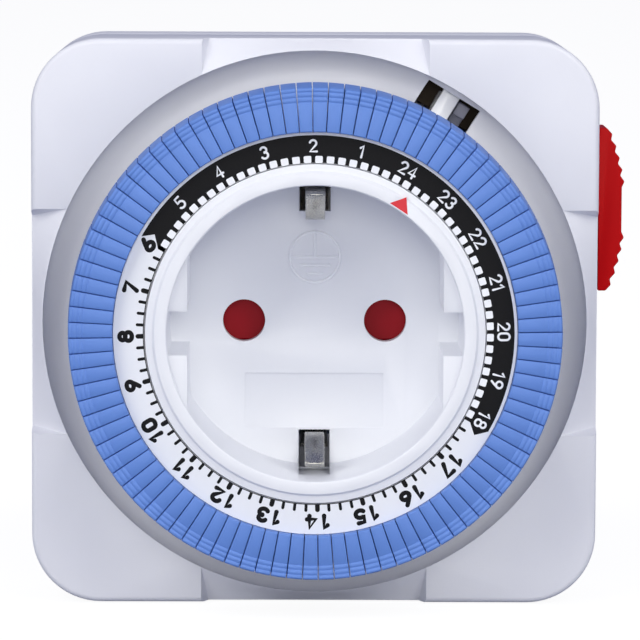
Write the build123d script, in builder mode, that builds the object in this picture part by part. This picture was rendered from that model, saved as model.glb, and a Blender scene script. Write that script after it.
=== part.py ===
from build123d import *
import os
from math import atan2, cos, degrees, hypot, pi, radians, sin

# Plug-in 24-hour timer switch, in millimetres.
#
# The origin is the centre of the plug face, between the two plug pins. The pins point along +Y
# into the wall, +Z is up and +X is to the right of someone who looks at the dial. The dial turns
# about the Y axis. A "forward" distance is measured from the plug face towards that person, so a
# place that is `forward` mm in front of the plug face has Y = -forward. Angles are seen from the
# front, anticlockwise from +X.

# ---------------------------------------------------------------- driving dimensions
CUT = 1.0                     # how far a cut reaches past the face that it opens

# socket for the appliance's plug, in the middle of the dial
RECESS_RADIUS = 19.5
RECESS_DEPTH = 17.5
RECESS_FLOOR = 2.0
RECESS_BEVEL = 0.15
BLOCK_DEPTH = 2.7             # guide blocks on both sides, in from the recess wall
BLOCK_SINK = 0.5              # their root inside the wall
BLOCK_DROP = 0.7              # they end this far behind the rim
BLOCK_NOTCH = 5.8
PIN_HOLE_RADIUS = 2.85
CUP_WALL = 1.7
CUP_SKIRT_STEP = 0.3          # skirt below the floor, wider inside than the recess
CUP_NECK_STEP = 0.85          # shoulder that stands on the dial seat
CUP_SNAP = 0.35               # barb under the dial seat
CUP_SNAP_HEIGHT = 0.8
SNAP_GAP = 0.05
RIM_OVERHANG = 1.1
RIM_LIP_WIDTH = 1.6           # raised inner part of the rim
RIM_STEP = 0.4
RIM_BEVEL = 0.3
RIM_THICKNESS = 0.8
PANEL_WIDTH = 18.6            # bare sunk panel in the recess floor
PANEL_HEIGHT = 7.4
PANEL_DROP = 10.8
PANEL_DEPTH = 0.25

# seat that the dial turns on, screwed to three posts
SEAT_THICKNESS = 2.0
SEAT_WIDTH = 2.0              # outside the cup
SEAT_FIT = 0.05               # cup in the seat, radial
SEAT_EAR_WIDTH = 6.6
SEAT_EAR_REACH = 4.1          # edge of the seat to its screws
SEAT_EAR_ROOT = 1.5
SEAT_EAR_ANGLES = (0, 90, 270)
SEAT_CARRIER_STEP = 0.4       # seat behind the front of the contact carrier

POINTER_WIDTH = 2.8
POINTER_LENGTH = 1.8
POINTER_INSET = 0.25          # base of the triangle, outside the recess wall
POINTER_DEPTH = 0.6
POINTER_ANGLE = 56.8

# dial wheel and its scale
SCALE_WIDTH = 3.95
SCALE_THICKNESS = 0.9
SCALE_GAP = 0.15              # scale ring to rim
DIAL_FIT = 0.1                # dial bore on the cup, radial
DIAL_END_PLAY = 0.3
DIAL_HUB_WALL = 1.3
DIAL_TOP_PLATE = 1.1
DIAL_TUBE_WALL = 1.2
DIAL_FLOOR_INSET = 0.7        # dial's floor inside the foot of the segments
DIAL_FLOOR_THICKNESS = 1.5
DIAL_PHASE = 60.9             # angle of the midnight mark
DIAL_TEETH = 96
DIAL_TOOTH_STAND = 1.4        # pitch circle outside the hub
DIAL_GEAR_WIDTH = 3.0
DIAL_SLIM = 0.85              # tooth thickness as a part of half the pitch

# push segments
HOURS = 24
SEGMENTS_PER_HOUR = 4
SEGMENT_PITCH = 360 / (HOURS * SEGMENTS_PER_HOUR)
SEGMENT_GAP = 0.25            # degrees between two segments
SEGMENT_HEIGHT = 8.0
SEGMENT_TRAVEL = 2.5
SEGMENT_INNER_GAP = 0.15      # segments to the dial's tube
SEGMENT_WIDTH = 5.55          # radial, at the top
SEGMENT_FLARE = 0.6           # foot outside the top
SEGMENT_ROUND = 0.5           # its inner top edge and its foot
SEGMENT_GROOVES = (1.65, 1.0, 0.35)     # in from the outer edge, with two ridges between them
SEGMENT_GROOVE_DEPTH = 0.18
SEGMENT_GROOVE_HALF = 0.2
SEGMENT_FLOOR_GAP = 0.5       # pressed segment to the dial's floor
TAIL_WIDTH = 1.0
TAIL_STAND = 1.25             # tail outside the segment's inner face
TAIL_DEPTH = 1.2
TAIL_SNAP = 0.3
TAIL_SNAP_HEIGHT = 0.7
TAIL_BELOW_FLOOR = 1.0
TAIL_CLEARANCE = 0.15         # all round, in the dial's slots

# body, round the dial
DRUM_GAP = 0.4                # segments to the moat
MOAT_WIDTH = 3.4
MOAT_WALL = 1.4
MOAT_FLOOR_REACH = 2.1        # floor of the moat, in beneath the segments
SIDE_MARGIN = 1.5             # lip of the moat to the sides of the body
HOUSING_DEPTH = 26.0          # rear wall to corner pads
CORNER_RADIUS = 9.3
WALL = 2.0
EDGE_ROUNDING = 0.8           # outer edge of the front
REAR_ROUNDING = 1.5
FRONT_SHELL_DEPTH = 14.0      # corner pads to the joint between the shells
BAND_HALF_LENGTH = 15.2       # sloping band along each side, from its middle
BAND_RAMP = 1.0
BAND_DROP = 2.2
RIM_PROUD = 14.6              # socket rim in front of the corner pads
DRUM_PROUD = 15.5             # top of the segments in front of the corner pads
SCALE_PROUD = 14.0

# plug that goes into the wall socket
BOSS_LENGTH = 18.0            # rear wall to plug face
BOSS_RADIUS = 18.6
BOSS_FLAT = 16.4              # flats on the two sides of the boss, from its axis
BOSS_WALL = 2.0
PLUG_FACE_THICKNESS = 3.0
PIN_DIAMETER = 4.8
PIN_LENGTH = 19.0
PIN_PITCH = 19.0
PIN_ROOT_STEP = 0.2           # thicker root of a pin, inside the plug face
PIN_ROOT_CONE = 0.4
PIN_END_ROUND = 1.2
PIN_FIT = 0.05
PIN_SHOULDER_STEP = 1.0
PIN_SHOULDER = 2.0
PIN_TAIL_RADIUS = 2.0
PIN_TAIL_LENGTH = 10.0

# earth strip with the sprung clips of socket and plug
EARTH_STRIP = 0.6
EARTH_WIDTH = 2.6             # front clips
EARTH_LEG_WIDTH = 3.8         # from the plug's grooves up to the shoulder
EARTH_LEG_START = 1.0         # end of a leg behind the plug face
EARTH_SHOULDER_DROP = 4.1     # shoulder behind the back of the recess floor
EARTH_OVERLAP = 1.0           # clip and leg
EARTH_INSET = 2.1             # inner face of the strip inside the recess wall
EARTH_CLEARANCE = 0.1
EARTH_SLOT_WIDTH = 4.2
EARTH_SLOT_INSET = 4.7        # slot in the floor, inside the recess wall
EARTH_SLOT_SINK = 1.0         # slot in the recess wall
EARTH_SLOT_STOP = 1.5
EARTH_BOW = 3.2               # how far the front clips bow in
EARTH_BOW_HEIGHT = 7.0        # above the recess floor
EARTH_TIP_HEIGHT = 11.5
EARTH_GROOVE_WIDTH = 4.6      # groove in the plug boss

# window in the moat, and the trip lever that shows in it
WINDOW_ANGLE = 58.5
WINDOW_HALF_WIDTH = 4.05
WINDOW_WIDTH = 2.6
WINDOW_UNDERCUT = 2.3         # outside the moat's lip
BLADE_ROOM = 0.6
LEVER_WIDTH = 2.5
LEVER_SIDE = -0.9             # clockwise face of the lever, from the window's middle
LEVER_PIVOT_STAND = 1.5       # pivot outside the tails of the segments
LEVER_PIVOT_DROP = 12.4       # pivot behind the dial's floor
LEVER_HUB_RADIUS = 1.6
LEVER_NOSE_GAP = 0.3          # nose to the tails of pressed segments
LEVER_NOSE_DROP = 1.2         # nose behind the dial's floor
LEVER_NOSE_WIDTH = 1.8
LEVER_NOSE_BEVEL = 0.8
LEVER_NOSE_SLOPE = 2.5
LEVER_BLADE_REACH = 0.5       # blade outside the moat's lip
LEVER_BLADE_STEP = 3.2        # blade behind the corner pads
LEVER_BLADE_DEPTH = 2.3
LEVER_BLADE_BEVEL = 0.8
LEVER_WEB = 0.6
LEVER_ARM_REACH = 4.5         # arm outside the pivot
LEVER_ARM_TIP = 0.9
LEVER_ARM_ROOT = 1.2
LEVER_TO_LEAF = 0.15
LEVER_PIN_RADIUS = 0.7
LEVER_PIN_FIT = 0.02
PIVOT_CLEARANCE = 0.1
LUG_GAP = 0.3
LUG_WIDTH = 1.7
LUG_REACH = 1.8               # lug round the pin
TAB_GAP = 0.3                 # the lug's raised corner, seen in the window
TAB_WIDTH = 1.8
TAB_RISE = 3.8                # above the pivot
TAB_ROOT = 0.9

# switch that the lever works
LEAF_THICKNESS = 0.4
LEAF_DROP = 3.4               # leaf behind the lever's pivot
LEAF_STAND = 1.7              # leaf outside the lever's pivot
LEAF_WIDTH = 3.4
LEAF_ROOT = 9.5               # anticlockwise end, from the window's middle
LEAF_TIP = 11.0               # clockwise end
BUTTON_RADIUS = 1.3
BUTTON_HEIGHT = 0.8
BUTTON_SIDE = 9.5
CONTACT_GAP = 1.1
SWITCH_BASE_HEIGHT = 2.5
SWITCH_BASE_END = 1.0         # base past the leaf's two ends
PILLAR_LENGTH = 3.0
PILLAR_INSET = 0.1
STRIP_THICKNESS = 0.7
STRIP_WIDTH = 3.0
STRIP_CLEARANCE = 0.2
STRIP_RISE = 3.5              # where the line strip leaves the boss, outside the carrier
RISER_ALONG = 2.0             # upright of the fixed contact, from its button along X
RISER_BELOW = 4.4             # and along Z
LEAD_RISE = 2.5               # line lead above the pocket's floor
LEAD_STOP = 2.9               # upright of the line lead, short of the leaf's root

# slider that holds the switch on
SLIDER_CENTRE = 15.0
SLIDER_LENGTH = 22.0
SLIDER_WIDTH = 8.0
SLIDER_DROP = 8.5             # middle of the slider behind the corner pads
SLIDER_PROUD = 4.0
SLIDER_END_PROUD = 1.7
SLIDER_END_BEVEL = 0.4
SLIDER_FLAT = 6.0             # flat middle of the grip
SLIDER_TEETH = 5
SLIDER_TOOTH_DEPTH = 0.45
SLIDER_TRAVEL = 4.0
SLIDER_GAP = 0.25
SLIDER_STEM_LENGTH = 6.0
SLIDER_STEM_WIDTH = 4.4
SLIDER_STEM_SINK = 0.5
SLIDER_PLATE_GAP = 0.3
SLIDER_PLATE_THICKNESS = 2.4
SLIDER_PLATE_LENGTH = 11.0
SLIDER_PLATE_WIDTH = 6.2
FINGER_PAST_BUTTON = 0.6
FINGER_LENGTH = 4.0
FINGER_THICKNESS = 1.7
FINGER_INSET = 0.5

# block that holds the contact clips
CARRIER_HALF_LENGTH = 14.2
CARRIER_HALF_WIDTH = 6.5
CARRIER_ROUND = 1.5
CARRIER_CUP_GAP = 2.5         # carrier to the recess floor, room for the shutter
CARRIER_DISC_THICKNESS = 3.0
CARRIER_DISC_FIT = 0.2
CARRIER_LEDGE_RADIUS = 3.2    # ledges in the boss that the carrier rests on
CARRIER_LEDGE_INSET = 1.0
CARRIER_LEDGE_ANGLES = (135, 225, 315)
POCKET_LENGTH = 8.0
POCKET_WIDTH = 9.0
POCKET_FLOOR = 1.0
CLIP_HALF_WIDTH = 3.3
CLIP_THICKNESS = 0.6
CLIP_BREADTH = 7.0
CLIP_THROAT = 2.3             # half of the gap that grips a pin
CLIP_TOP_GAP = 0.6
CLIP_NECK = 6.0               # clip narrows over this height
CLIP_MOUTH = 2.4
CLIP_FLARE = 0.4
CLIP_LIP = 0.5
TONGUE_WIDTH = 4.0

SHUTTER_THICKNESS = 1.6
SHUTTER_RADIUS = 13.0
SHUTTER_WIDTH = 7.4
SHUTTER_HUB_RADIUS = 3.2
SHUTTER_LIFT = 0.5            # shutter to carrier
SHUTTER_RAMP = 1.0
PEG_RADIUS = 1.5
SPRING_WIRE_RADIUS = 0.2
SPRING_RADIUS = 2.3
SPRING_TURNS = 3.5
SPRING_PITCH = 0.6
SPRING_POCKET_RADIUS = 3.0
SPRING_POCKET_FLOOR = 1.0
PEG_SINK = 0.5

# gear train
TRAIN_MODULE = 0.25
TRAIN_MOTOR_GAP = 0.5         # first wheel to the motor
TRAIN_LEVEL_PITCH = 1.3
TRAIN_WHEEL_THICKNESS = 1.05
TRAIN_PINION_TEETH = 8
TRAIN_WHEEL_SLIM = 0.75
TRAIN_PINION_SLIM = 0.7
TRAIN_LEVELS = 5
ARBOR_RADIUS = 0.3
ARBOR_CLEARANCE = 0.1
PLATE_GAP = 0.25
PLATE_THICKNESS = 1.2
PILLAR_LOW_INSET = 6.0
PILLAR_LEFT_INSET = 8.5
PILLAR_LEFT_DROP = 11.5
PILLAR_TOP_SHIFT = 2.0
PILLAR_TOP_DROP = 7.0
PLATE_ARM_WIDTH = 6.0
PILLAR_RADIUS = 2.2
DRIVE_TEETH = 12
DRIVE_BEARING = 125.0         # where the drive pinion meets the dial's gear
DRIVE_SLIM = 0.8
DRIVE_SPINDLE_RADIUS = 0.8
DRIVE_SHOULDER_RADIUS = 1.6

# synchronous motor
MOTOR_WALL = 0.7
MOTOR_COIL_GAP = 0.4
PLATE_SEAT_GAP = 1.0
CLAW_COUNT = 8
CLAW_RADIUS = 5.4
CLAW_THICKNESS = 0.6
CLAW_WIDTH = 1.8
CLAW_GAP = 0.4
ROTOR_GAP = 0.3
COIL_INNER_RADIUS = 6.9
COIL_OUTER_RADIUS = 11.2
BOBBIN_WALL = 0.6
BOBBIN_GAP = 0.2

# screws
SCREW_RADIUS = 1.1
SCREW_HEAD_RADIUS = 2.0
SCREW_HEAD_HEIGHT = 1.4
SCREW_HOLE_CLEARANCE = 0.1
SCREW_HEAD_CLEARANCE = 0.3
SCREW_HOLE_FLOOR = 2.0
POST_RADIUS = 2.8
HOUSING_SCREW_INSET = 5.7     # housing screws, in from the sides of the body
HOUSING_SCREW_LENGTH = 13.0
INNER_SCREW_LENGTH = 7.0
SCREW_COUNTERBORE = 6.0
SLOT_WIDTH = 0.5
SLOT_DEPTH = 0.7

# ---------------------------------------------------------------- places worked out from them
# radii, from the socket outwards
RECESS_FLAT = RECESS_RADIUS - BLOCK_DEPTH
CUP_SKIRT_RADIUS = RECESS_RADIUS - CUP_SKIRT_STEP
CUP_OUTER_RADIUS = RECESS_RADIUS + CUP_WALL
CUP_NECK_RADIUS = CUP_OUTER_RADIUS - CUP_NECK_STEP
RIM_RADIUS = CUP_OUTER_RADIUS + RIM_OVERHANG
RIM_LIP_RADIUS = RECESS_RADIUS + RIM_LIP_WIDTH
SEAT_RADIUS = CUP_OUTER_RADIUS + SEAT_WIDTH
SEAT_SCREW_RADIUS = SEAT_RADIUS + SEAT_EAR_REACH
DIAL_BORE = CUP_OUTER_RADIUS + DIAL_FIT
DIAL_HUB_RADIUS = DIAL_BORE + DIAL_HUB_WALL
DIAL_MODULE = 2 * (DIAL_HUB_RADIUS + DIAL_TOOTH_STAND) / DIAL_TEETH
DRIVE_DISTANCE = (DIAL_TEETH + DRIVE_TEETH) * DIAL_MODULE / 2
SCALE_RADIUS = RIM_RADIUS + SCALE_GAP + SCALE_WIDTH
SEGMENT_INNER = SCALE_RADIUS + SEGMENT_INNER_GAP
SEGMENT_TOP_RADIUS = SEGMENT_INNER + SEGMENT_WIDTH
SEGMENT_FOOT_RADIUS = SEGMENT_TOP_RADIUS + SEGMENT_FLARE
DIAL_FLOOR_RADIUS = SEGMENT_FOOT_RADIUS - DIAL_FLOOR_INSET
TAIL_INNER = SEGMENT_INNER + TAIL_STAND
TAIL_OUTER = TAIL_INNER + TAIL_DEPTH
MOAT_INNER_RADIUS = SEGMENT_FOOT_RADIUS + DRUM_GAP
MOAT_FLOOR_INNER = MOAT_INNER_RADIUS - MOAT_FLOOR_REACH
LIP_RADIUS = MOAT_INNER_RADIUS + MOAT_WIDTH
HALF_SIZE = LIP_RADIUS + SIDE_MARGIN
HOUSING_SIZE = 2 * HALF_SIZE
HOUSING_INNER = HOUSING_SIZE - 2 * WALL
HOUSING_SCREW_PLACE = HALF_SIZE - HOUSING_SCREW_INSET
WINDOW_OUTER = MOAT_INNER_RADIUS + WINDOW_WIDTH
LEVER_PIVOT_RADIUS = TAIL_OUTER + LEVER_PIVOT_STAND
LEVER_BLADE_END = LIP_RADIUS + LEVER_BLADE_REACH
LEVER_ARM_RADIUS = LEVER_PIVOT_RADIUS + LEVER_ARM_REACH
LEAF_INNER = LEVER_PIVOT_RADIUS + LEAF_STAND
LEAF_OUTER = LEAF_INNER + LEAF_WIDTH
TAB_INNER = MOAT_INNER_RADIUS + TAB_GAP
TAB_OUTER = TAB_INNER + TAB_WIDTH
SWITCH_BASE_INNER = LEVER_PIVOT_RADIUS - LEVER_HUB_RADIUS
EARTH_RADIUS = RECESS_RADIUS - EARTH_INSET
EARTH_REACH = EARTH_RADIUS - EARTH_BOW
BOSS_CORE_RADIUS = BOSS_RADIUS - BOSS_WALL
BOSS_CORE_FLAT = BOSS_FLAT - BOSS_WALL
PIN_ROOT_RADIUS = PIN_DIAMETER / 2 + PIN_ROOT_STEP
PIN_SHOULDER_RADIUS = PIN_DIAMETER / 2 + PIN_SHOULDER_STEP
HALF_PITCH = PIN_PITCH / 2

# forward places, from the wall to the front
REAR_FORWARD = BOSS_LENGTH
INNER_REAR = REAR_FORWARD + WALL
PAD_FORWARD = REAR_FORWARD + HOUSING_DEPTH
SPLIT_FORWARD = PAD_FORWARD - FRONT_SHELL_DEPTH
RIM_FORWARD = PAD_FORWARD + RIM_PROUD
DRUM_FORWARD = PAD_FORWARD + DRUM_PROUD
SCALE_FORWARD = PAD_FORWARD + SCALE_PROUD
FLOOR_FORWARD = RIM_FORWARD - RECESS_DEPTH
FLOOR_BACK = FLOOR_FORWARD - RECESS_FLOOR
RIM_UNDERSIDE = RIM_FORWARD - RIM_STEP - RIM_THICKNESS
DIAL_TOP = SCALE_FORWARD - SCALE_THICKNESS
SEGMENT_FOOT = DRUM_FORWARD - SEGMENT_HEIGHT
DIAL_FLOOR_TOP = SEGMENT_FOOT - SEGMENT_TRAVEL - SEGMENT_FLOOR_GAP
DIAL_FLOOR_BOTTOM = DIAL_FLOOR_TOP - DIAL_FLOOR_THICKNESS
TAIL_END = DIAL_FLOOR_BOTTOM - TAIL_BELOW_FLOOR
CARRIER_TOP = FLOOR_BACK - CARRIER_CUP_GAP
CARRIER_DISC_BOTTOM = INNER_REAR - CARRIER_DISC_THICKNESS
SEAT_BOTTOM = CARRIER_TOP - SEAT_CARRIER_STEP
SEAT_TOP = SEAT_BOTTOM + SEAT_THICKNESS
DIAL_BOTTOM = SEAT_TOP + DIAL_END_PLAY
SHUTTER_BOTTOM = CARRIER_TOP + SHUTTER_LIFT
POCKET_BOTTOM = INNER_REAR + POCKET_FLOOR
CLIP_TOP = CARRIER_TOP - CLIP_TOP_GAP
PIN_END = PLUG_FACE_THICKNESS + PIN_SHOULDER + PIN_TAIL_LENGTH
EARTH_SHOULDER = FLOOR_BACK - EARTH_SHOULDER_DROP
LEVER_PIVOT_FORWARD = DIAL_FLOOR_BOTTOM - LEVER_PIVOT_DROP
LEVER_BLADE_TOP = PAD_FORWARD - LEVER_BLADE_STEP
LEAF_FORWARD = LEVER_PIVOT_FORWARD - LEAF_DROP
LEAF_TOP = LEAF_FORWARD + LEAF_THICKNESS
FIXED_TOP = LEAF_FORWARD - BUTTON_HEIGHT - CONTACT_GAP - BUTTON_HEIGHT
SLIDER_FORWARD = PAD_FORWARD - SLIDER_DROP
PLATE_TOP = SEAT_BOTTOM - PLATE_SEAT_GAP
PLATE_FORWARD = PLATE_TOP - PLATE_THICKNESS
TRAIN_TOP = PLATE_FORWARD - PLATE_GAP
MOTOR_TOP = TRAIN_TOP - TRAIN_WHEEL_THICKNESS - (TRAIN_LEVELS - 1) * TRAIN_LEVEL_PITCH - TRAIN_MOTOR_GAP
MOTOR_HEIGHT = MOTOR_TOP - INNER_REAR
MOTOR_RADIUS = COIL_OUTER_RADIUS + BOBBIN_GAP + MOTOR_COIL_GAP + MOTOR_WALL


# ---------------------------------------------------------------- planes and small helpers
def front_plane(forward, angle=0.0):
    """Plane square to the dial's axis: local x is the radius at `angle`, z faces the user."""
    c, s = cos(radians(angle)), sin(radians(angle))
    return Plane(origin=(0, -forward, 0), x_dir=(c, 0, s), z_dir=(0, -1, 0))


def radial_plane(angle=0.0, side=0.0):
    """Plane along the dial's axis: local x is the radius at `angle`, local y is forward.

    The plane lies `side` mm anticlockwise of the axis, and its z axis points clockwise.
    """
    c, s = cos(radians(angle)), sin(radians(angle))
    return Plane(origin=(-s * side, 0, c * side), x_dir=(c, 0, s), z_dir=(s, 0, -c))


def polar(radius, angle):
    """Point at a radius and angle, as seen from the front."""
    return (radius * cos(radians(angle)), radius * sin(radians(angle)))


def step(start, distance, bearing):
    """Point that lies `distance` from `start` in the direction `bearing`."""
    return (start[0] + distance * cos(radians(bearing)), start[1] + distance * sin(radians(bearing)))


def save(part, label):
    """Label a finished piece and write it as its own file."""
    part.label = label
    export_step(part, f"parts/{label}.step")


def gear_points(teeth, module, turn, slim):
    """Outline of a gear with a tooth centred at the angle `turn`, `slim` of full thickness."""
    pitch_radius = teeth * module / 2
    half_tooth = 90 / teeth * slim
    profile = (
        (pitch_radius - 1.35 * module, half_tooth * 1.1),
        (pitch_radius, half_tooth),
        (pitch_radius + 0.7 * module, half_tooth * 0.5),
    )
    points = []
    for index in range(teeth):
        middle = turn + 360 * index / teeth
        points += [polar(radius, middle - half) for radius, half in profile]
        points += [polar(radius, middle + half) for radius, half in reversed(profile)]
    return points


def meshing_turn(turn, teeth, mate_teeth, bearing):
    """Angle of a tooth of the mating gear that lies in the direction `bearing`."""
    pitch = 360 / teeth
    offset = (turn - bearing + pitch / 2) % pitch - pitch / 2
    return bearing + 180 - offset * teeth / mate_teeth + 180 / mate_teeth


def bars_between(points, width):
    """Add a round-ended bar along each stretch of a chain of points to the current sketch."""
    for start, end in zip(points, points[1:]):
        middle = ((start[0] + end[0]) / 2, (start[1] + end[1]) / 2)
        length = hypot(end[0] - start[0], end[1] - start[1])
        bearing = degrees(atan2(end[1] - start[1], end[0] - start[0]))
        with Locations(Location((*middle, 0), bearing)):
            Rectangle(length, width)
    with Locations(*points):
        Circle(width / 2)


# ---------------------------------------------------------------- places of the gear train
# Each stage: name, wheel teeth, bearing from the next wheel towards the motor.
TRAIN = (
    ("first_wheel", 80, 294.0),
    ("second_wheel", 80, 270.0),
    ("third_wheel", 80, 264.0),
    ("fourth_wheel", 60, 258.0),
    ("clutch_wheel", 48, 200.0),
)
DRIVE_CENTRE = polar(DRIVE_DISTANCE, DRIVE_BEARING)


def train_centres():
    """Centres of the wheels from the first to the clutch wheel, and the motor's centre."""
    centres = [DRIVE_CENTRE]
    for _, teeth, bearing in reversed(TRAIN):
        distance = (teeth + TRAIN_PINION_TEETH) * TRAIN_MODULE / 2
        centres.append(step(centres[-1], distance, bearing))
    motor = centres.pop()
    return list(reversed(centres)), motor


WHEEL_CENTRES, MOTOR_CENTRE = train_centres()
# pillars of the movement plate: below the motor, at the upper left corner, and at the top
PLATE_PILLARS = (
    (-HALF_PITCH, PILLAR_LOW_INSET - HALF_SIZE),
    (PILLAR_LEFT_INSET - HALF_SIZE, HALF_SIZE - PILLAR_LEFT_DROP),
    (PILLAR_TOP_SHIFT - HALF_PITCH, HALF_SIZE - PILLAR_TOP_DROP),
)
CORNERS = [(x * HOUSING_SCREW_PLACE, z * HOUSING_SCREW_PLACE) for x in (-1, 1) for z in (-1, 1)]
EAR_PLACES = [polar(SEAT_SCREW_RADIUS, angle) for angle in SEAT_EAR_ANGLES]
PIN_PLACES = ((-HALF_PITCH, 0), (HALF_PITCH, 0))
os.makedirs("parts", exist_ok=True)


# ---------------------------------------------------------------- front housing
def moat_sector(radius):
    """Quarter disc round the inner edge of the moat, in the current radial sketch."""
    with BuildLine() as outline:
        Line((MOAT_INNER_RADIUS, PAD_FORWARD), (MOAT_INNER_RADIUS + radius, PAD_FORWARD))
        RadiusArc(
            (MOAT_INNER_RADIUS + radius, PAD_FORWARD),
            (MOAT_INNER_RADIUS, PAD_FORWARD - radius),
            radius,
        )
        Line((MOAT_INNER_RADIUS, PAD_FORWARD - radius), (MOAT_INNER_RADIUS, PAD_FORWARD))
    make_face(outline.edges())


# space inside the front shell, less the wall of the moat
with BuildPart() as front_hollow:
    with BuildSketch(front_plane(SPLIT_FORWARD)):
        RectangleRounded(HOUSING_INNER, HOUSING_INNER, CORNER_RADIUS - WALL)
    extrude(amount=FRONT_SHELL_DEPTH - WALL)
    with BuildSketch(radial_plane()):
        moat_sector(MOAT_WIDTH + MOAT_WALL)
        with Locations(((MOAT_FLOOR_INNER + MOAT_INNER_RADIUS) / 2, PAD_FORWARD)):
            Rectangle(MOAT_FLOOR_REACH, MOAT_WIDTH + MOAT_WALL, align=(Align.CENTER, Align.MAX))
    revolve(axis=Axis.Y, mode=Mode.SUBTRACT)

with BuildPart() as front_housing:
    with BuildSketch(front_plane(SPLIT_FORWARD)):
        RectangleRounded(HOUSING_SIZE, HOUSING_SIZE, CORNER_RADIUS)
    extrude(amount=FRONT_SHELL_DEPTH)
    fillet(front_housing.faces().sort_by(Axis.Y)[0].edges(), EDGE_ROUNDING)
    add(front_hollow.part, mode=Mode.SUBTRACT)
    with BuildSketch(front_plane(SPLIT_FORWARD)):
        with Locations(*CORNERS):
            Circle(POST_RADIUS)
    extrude(amount=FRONT_SHELL_DEPTH - WALL)
    with BuildSketch(radial_plane()):
        moat_sector(MOAT_WIDTH)
        with Locations((MOAT_INNER_RADIUS / 2, PAD_FORWARD - MOAT_WIDTH)):
            Rectangle(MOAT_INNER_RADIUS, HOUSING_DEPTH, align=(Align.CENTER, Align.MIN))
        with Locations((MOAT_FLOOR_INNER / 2, PAD_FORWARD)):
            Rectangle(MOAT_FLOOR_INNER, HOUSING_DEPTH)
    revolve(axis=Axis.Y, mode=Mode.SUBTRACT)
    with BuildSketch(front_plane(SPLIT_FORWARD)):
        with Locations(*CORNERS):
            Circle(SCREW_RADIUS + SCREW_HOLE_CLEARANCE)
    extrude(amount=FRONT_SHELL_DEPTH - 2 * WALL, mode=Mode.SUBTRACT)
    # sloping band along each side, from the moat's lip down to the outer edge
    for side_angle in (0, 90, 180, 270):
        lip_depth = (LIP_RADIUS**2 - BAND_HALF_LENGTH**2) ** 0.5
        foot_half = BAND_HALF_LENGTH - BAND_RAMP
        with BuildSketch(front_plane(PAD_FORWARD, side_angle)):
            with BuildLine():
                start, end = (lip_depth, -BAND_HALF_LENGTH), (lip_depth, BAND_HALF_LENGTH)
                ThreePointArc(start, (LIP_RADIUS, 0), end)
                outside = HALF_SIZE + CUT
                Polyline(end, (outside, BAND_HALF_LENGTH), (outside, -BAND_HALF_LENGTH), start)
            make_face()
        with BuildSketch(front_plane(PAD_FORWARD - BAND_DROP, side_angle)):
            with Locations((HALF_SIZE + CUT / 2, 0)):
                Rectangle(CUT, 2 * foot_half)
        loft(ruled=True, mode=Mode.SUBTRACT)
    # window for the trip lever, and its undercut behind the lip
    window_inner = MOAT_FLOOR_INNER - CUT
    with BuildSketch(front_plane(SPLIT_FORWARD, WINDOW_ANGLE)):
        with Locations(((window_inner + WINDOW_OUTER) / 2, 0)):
            Rectangle(WINDOW_OUTER - window_inner, 2 * WINDOW_HALF_WIDTH)
    extrude(amount=FRONT_SHELL_DEPTH, mode=Mode.SUBTRACT)
    with BuildSketch(front_plane(SPLIT_FORWARD, WINDOW_ANGLE)):
        undercut_end = LIP_RADIUS + WINDOW_UNDERCUT
        with Locations(((MOAT_INNER_RADIUS + undercut_end) / 2, 0)):
            Rectangle(undercut_end - MOAT_INNER_RADIUS, 2 * WINDOW_HALF_WIDTH)
    extrude(amount=LEVER_BLADE_TOP + BLADE_ROOM - SPLIT_FORWARD, mode=Mode.SUBTRACT)
    # slot for the slider's stem
    with BuildSketch(Plane.YZ.offset(HALF_SIZE - WALL - CUT)):
        with Locations((-SLIDER_FORWARD, SLIDER_CENTRE + SLIDER_TRAVEL / 2)):
            Rectangle(
                SLIDER_STEM_WIDTH + 2 * SLIDER_GAP,
                SLIDER_STEM_LENGTH + SLIDER_TRAVEL + 2 * SLIDER_GAP,
            )
    extrude(amount=WALL + 2 * CUT, mode=Mode.SUBTRACT)
save(front_housing.part, "front_housing")

# ---------------------------------------------------------------- rear housing with plug boss
def boss_outline(radius, flat):
    """Round boss with a flat on each side, in the current sketch."""
    Circle(radius)
    Rectangle(2 * flat, 2 * radius, mode=Mode.INTERSECT)


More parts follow.
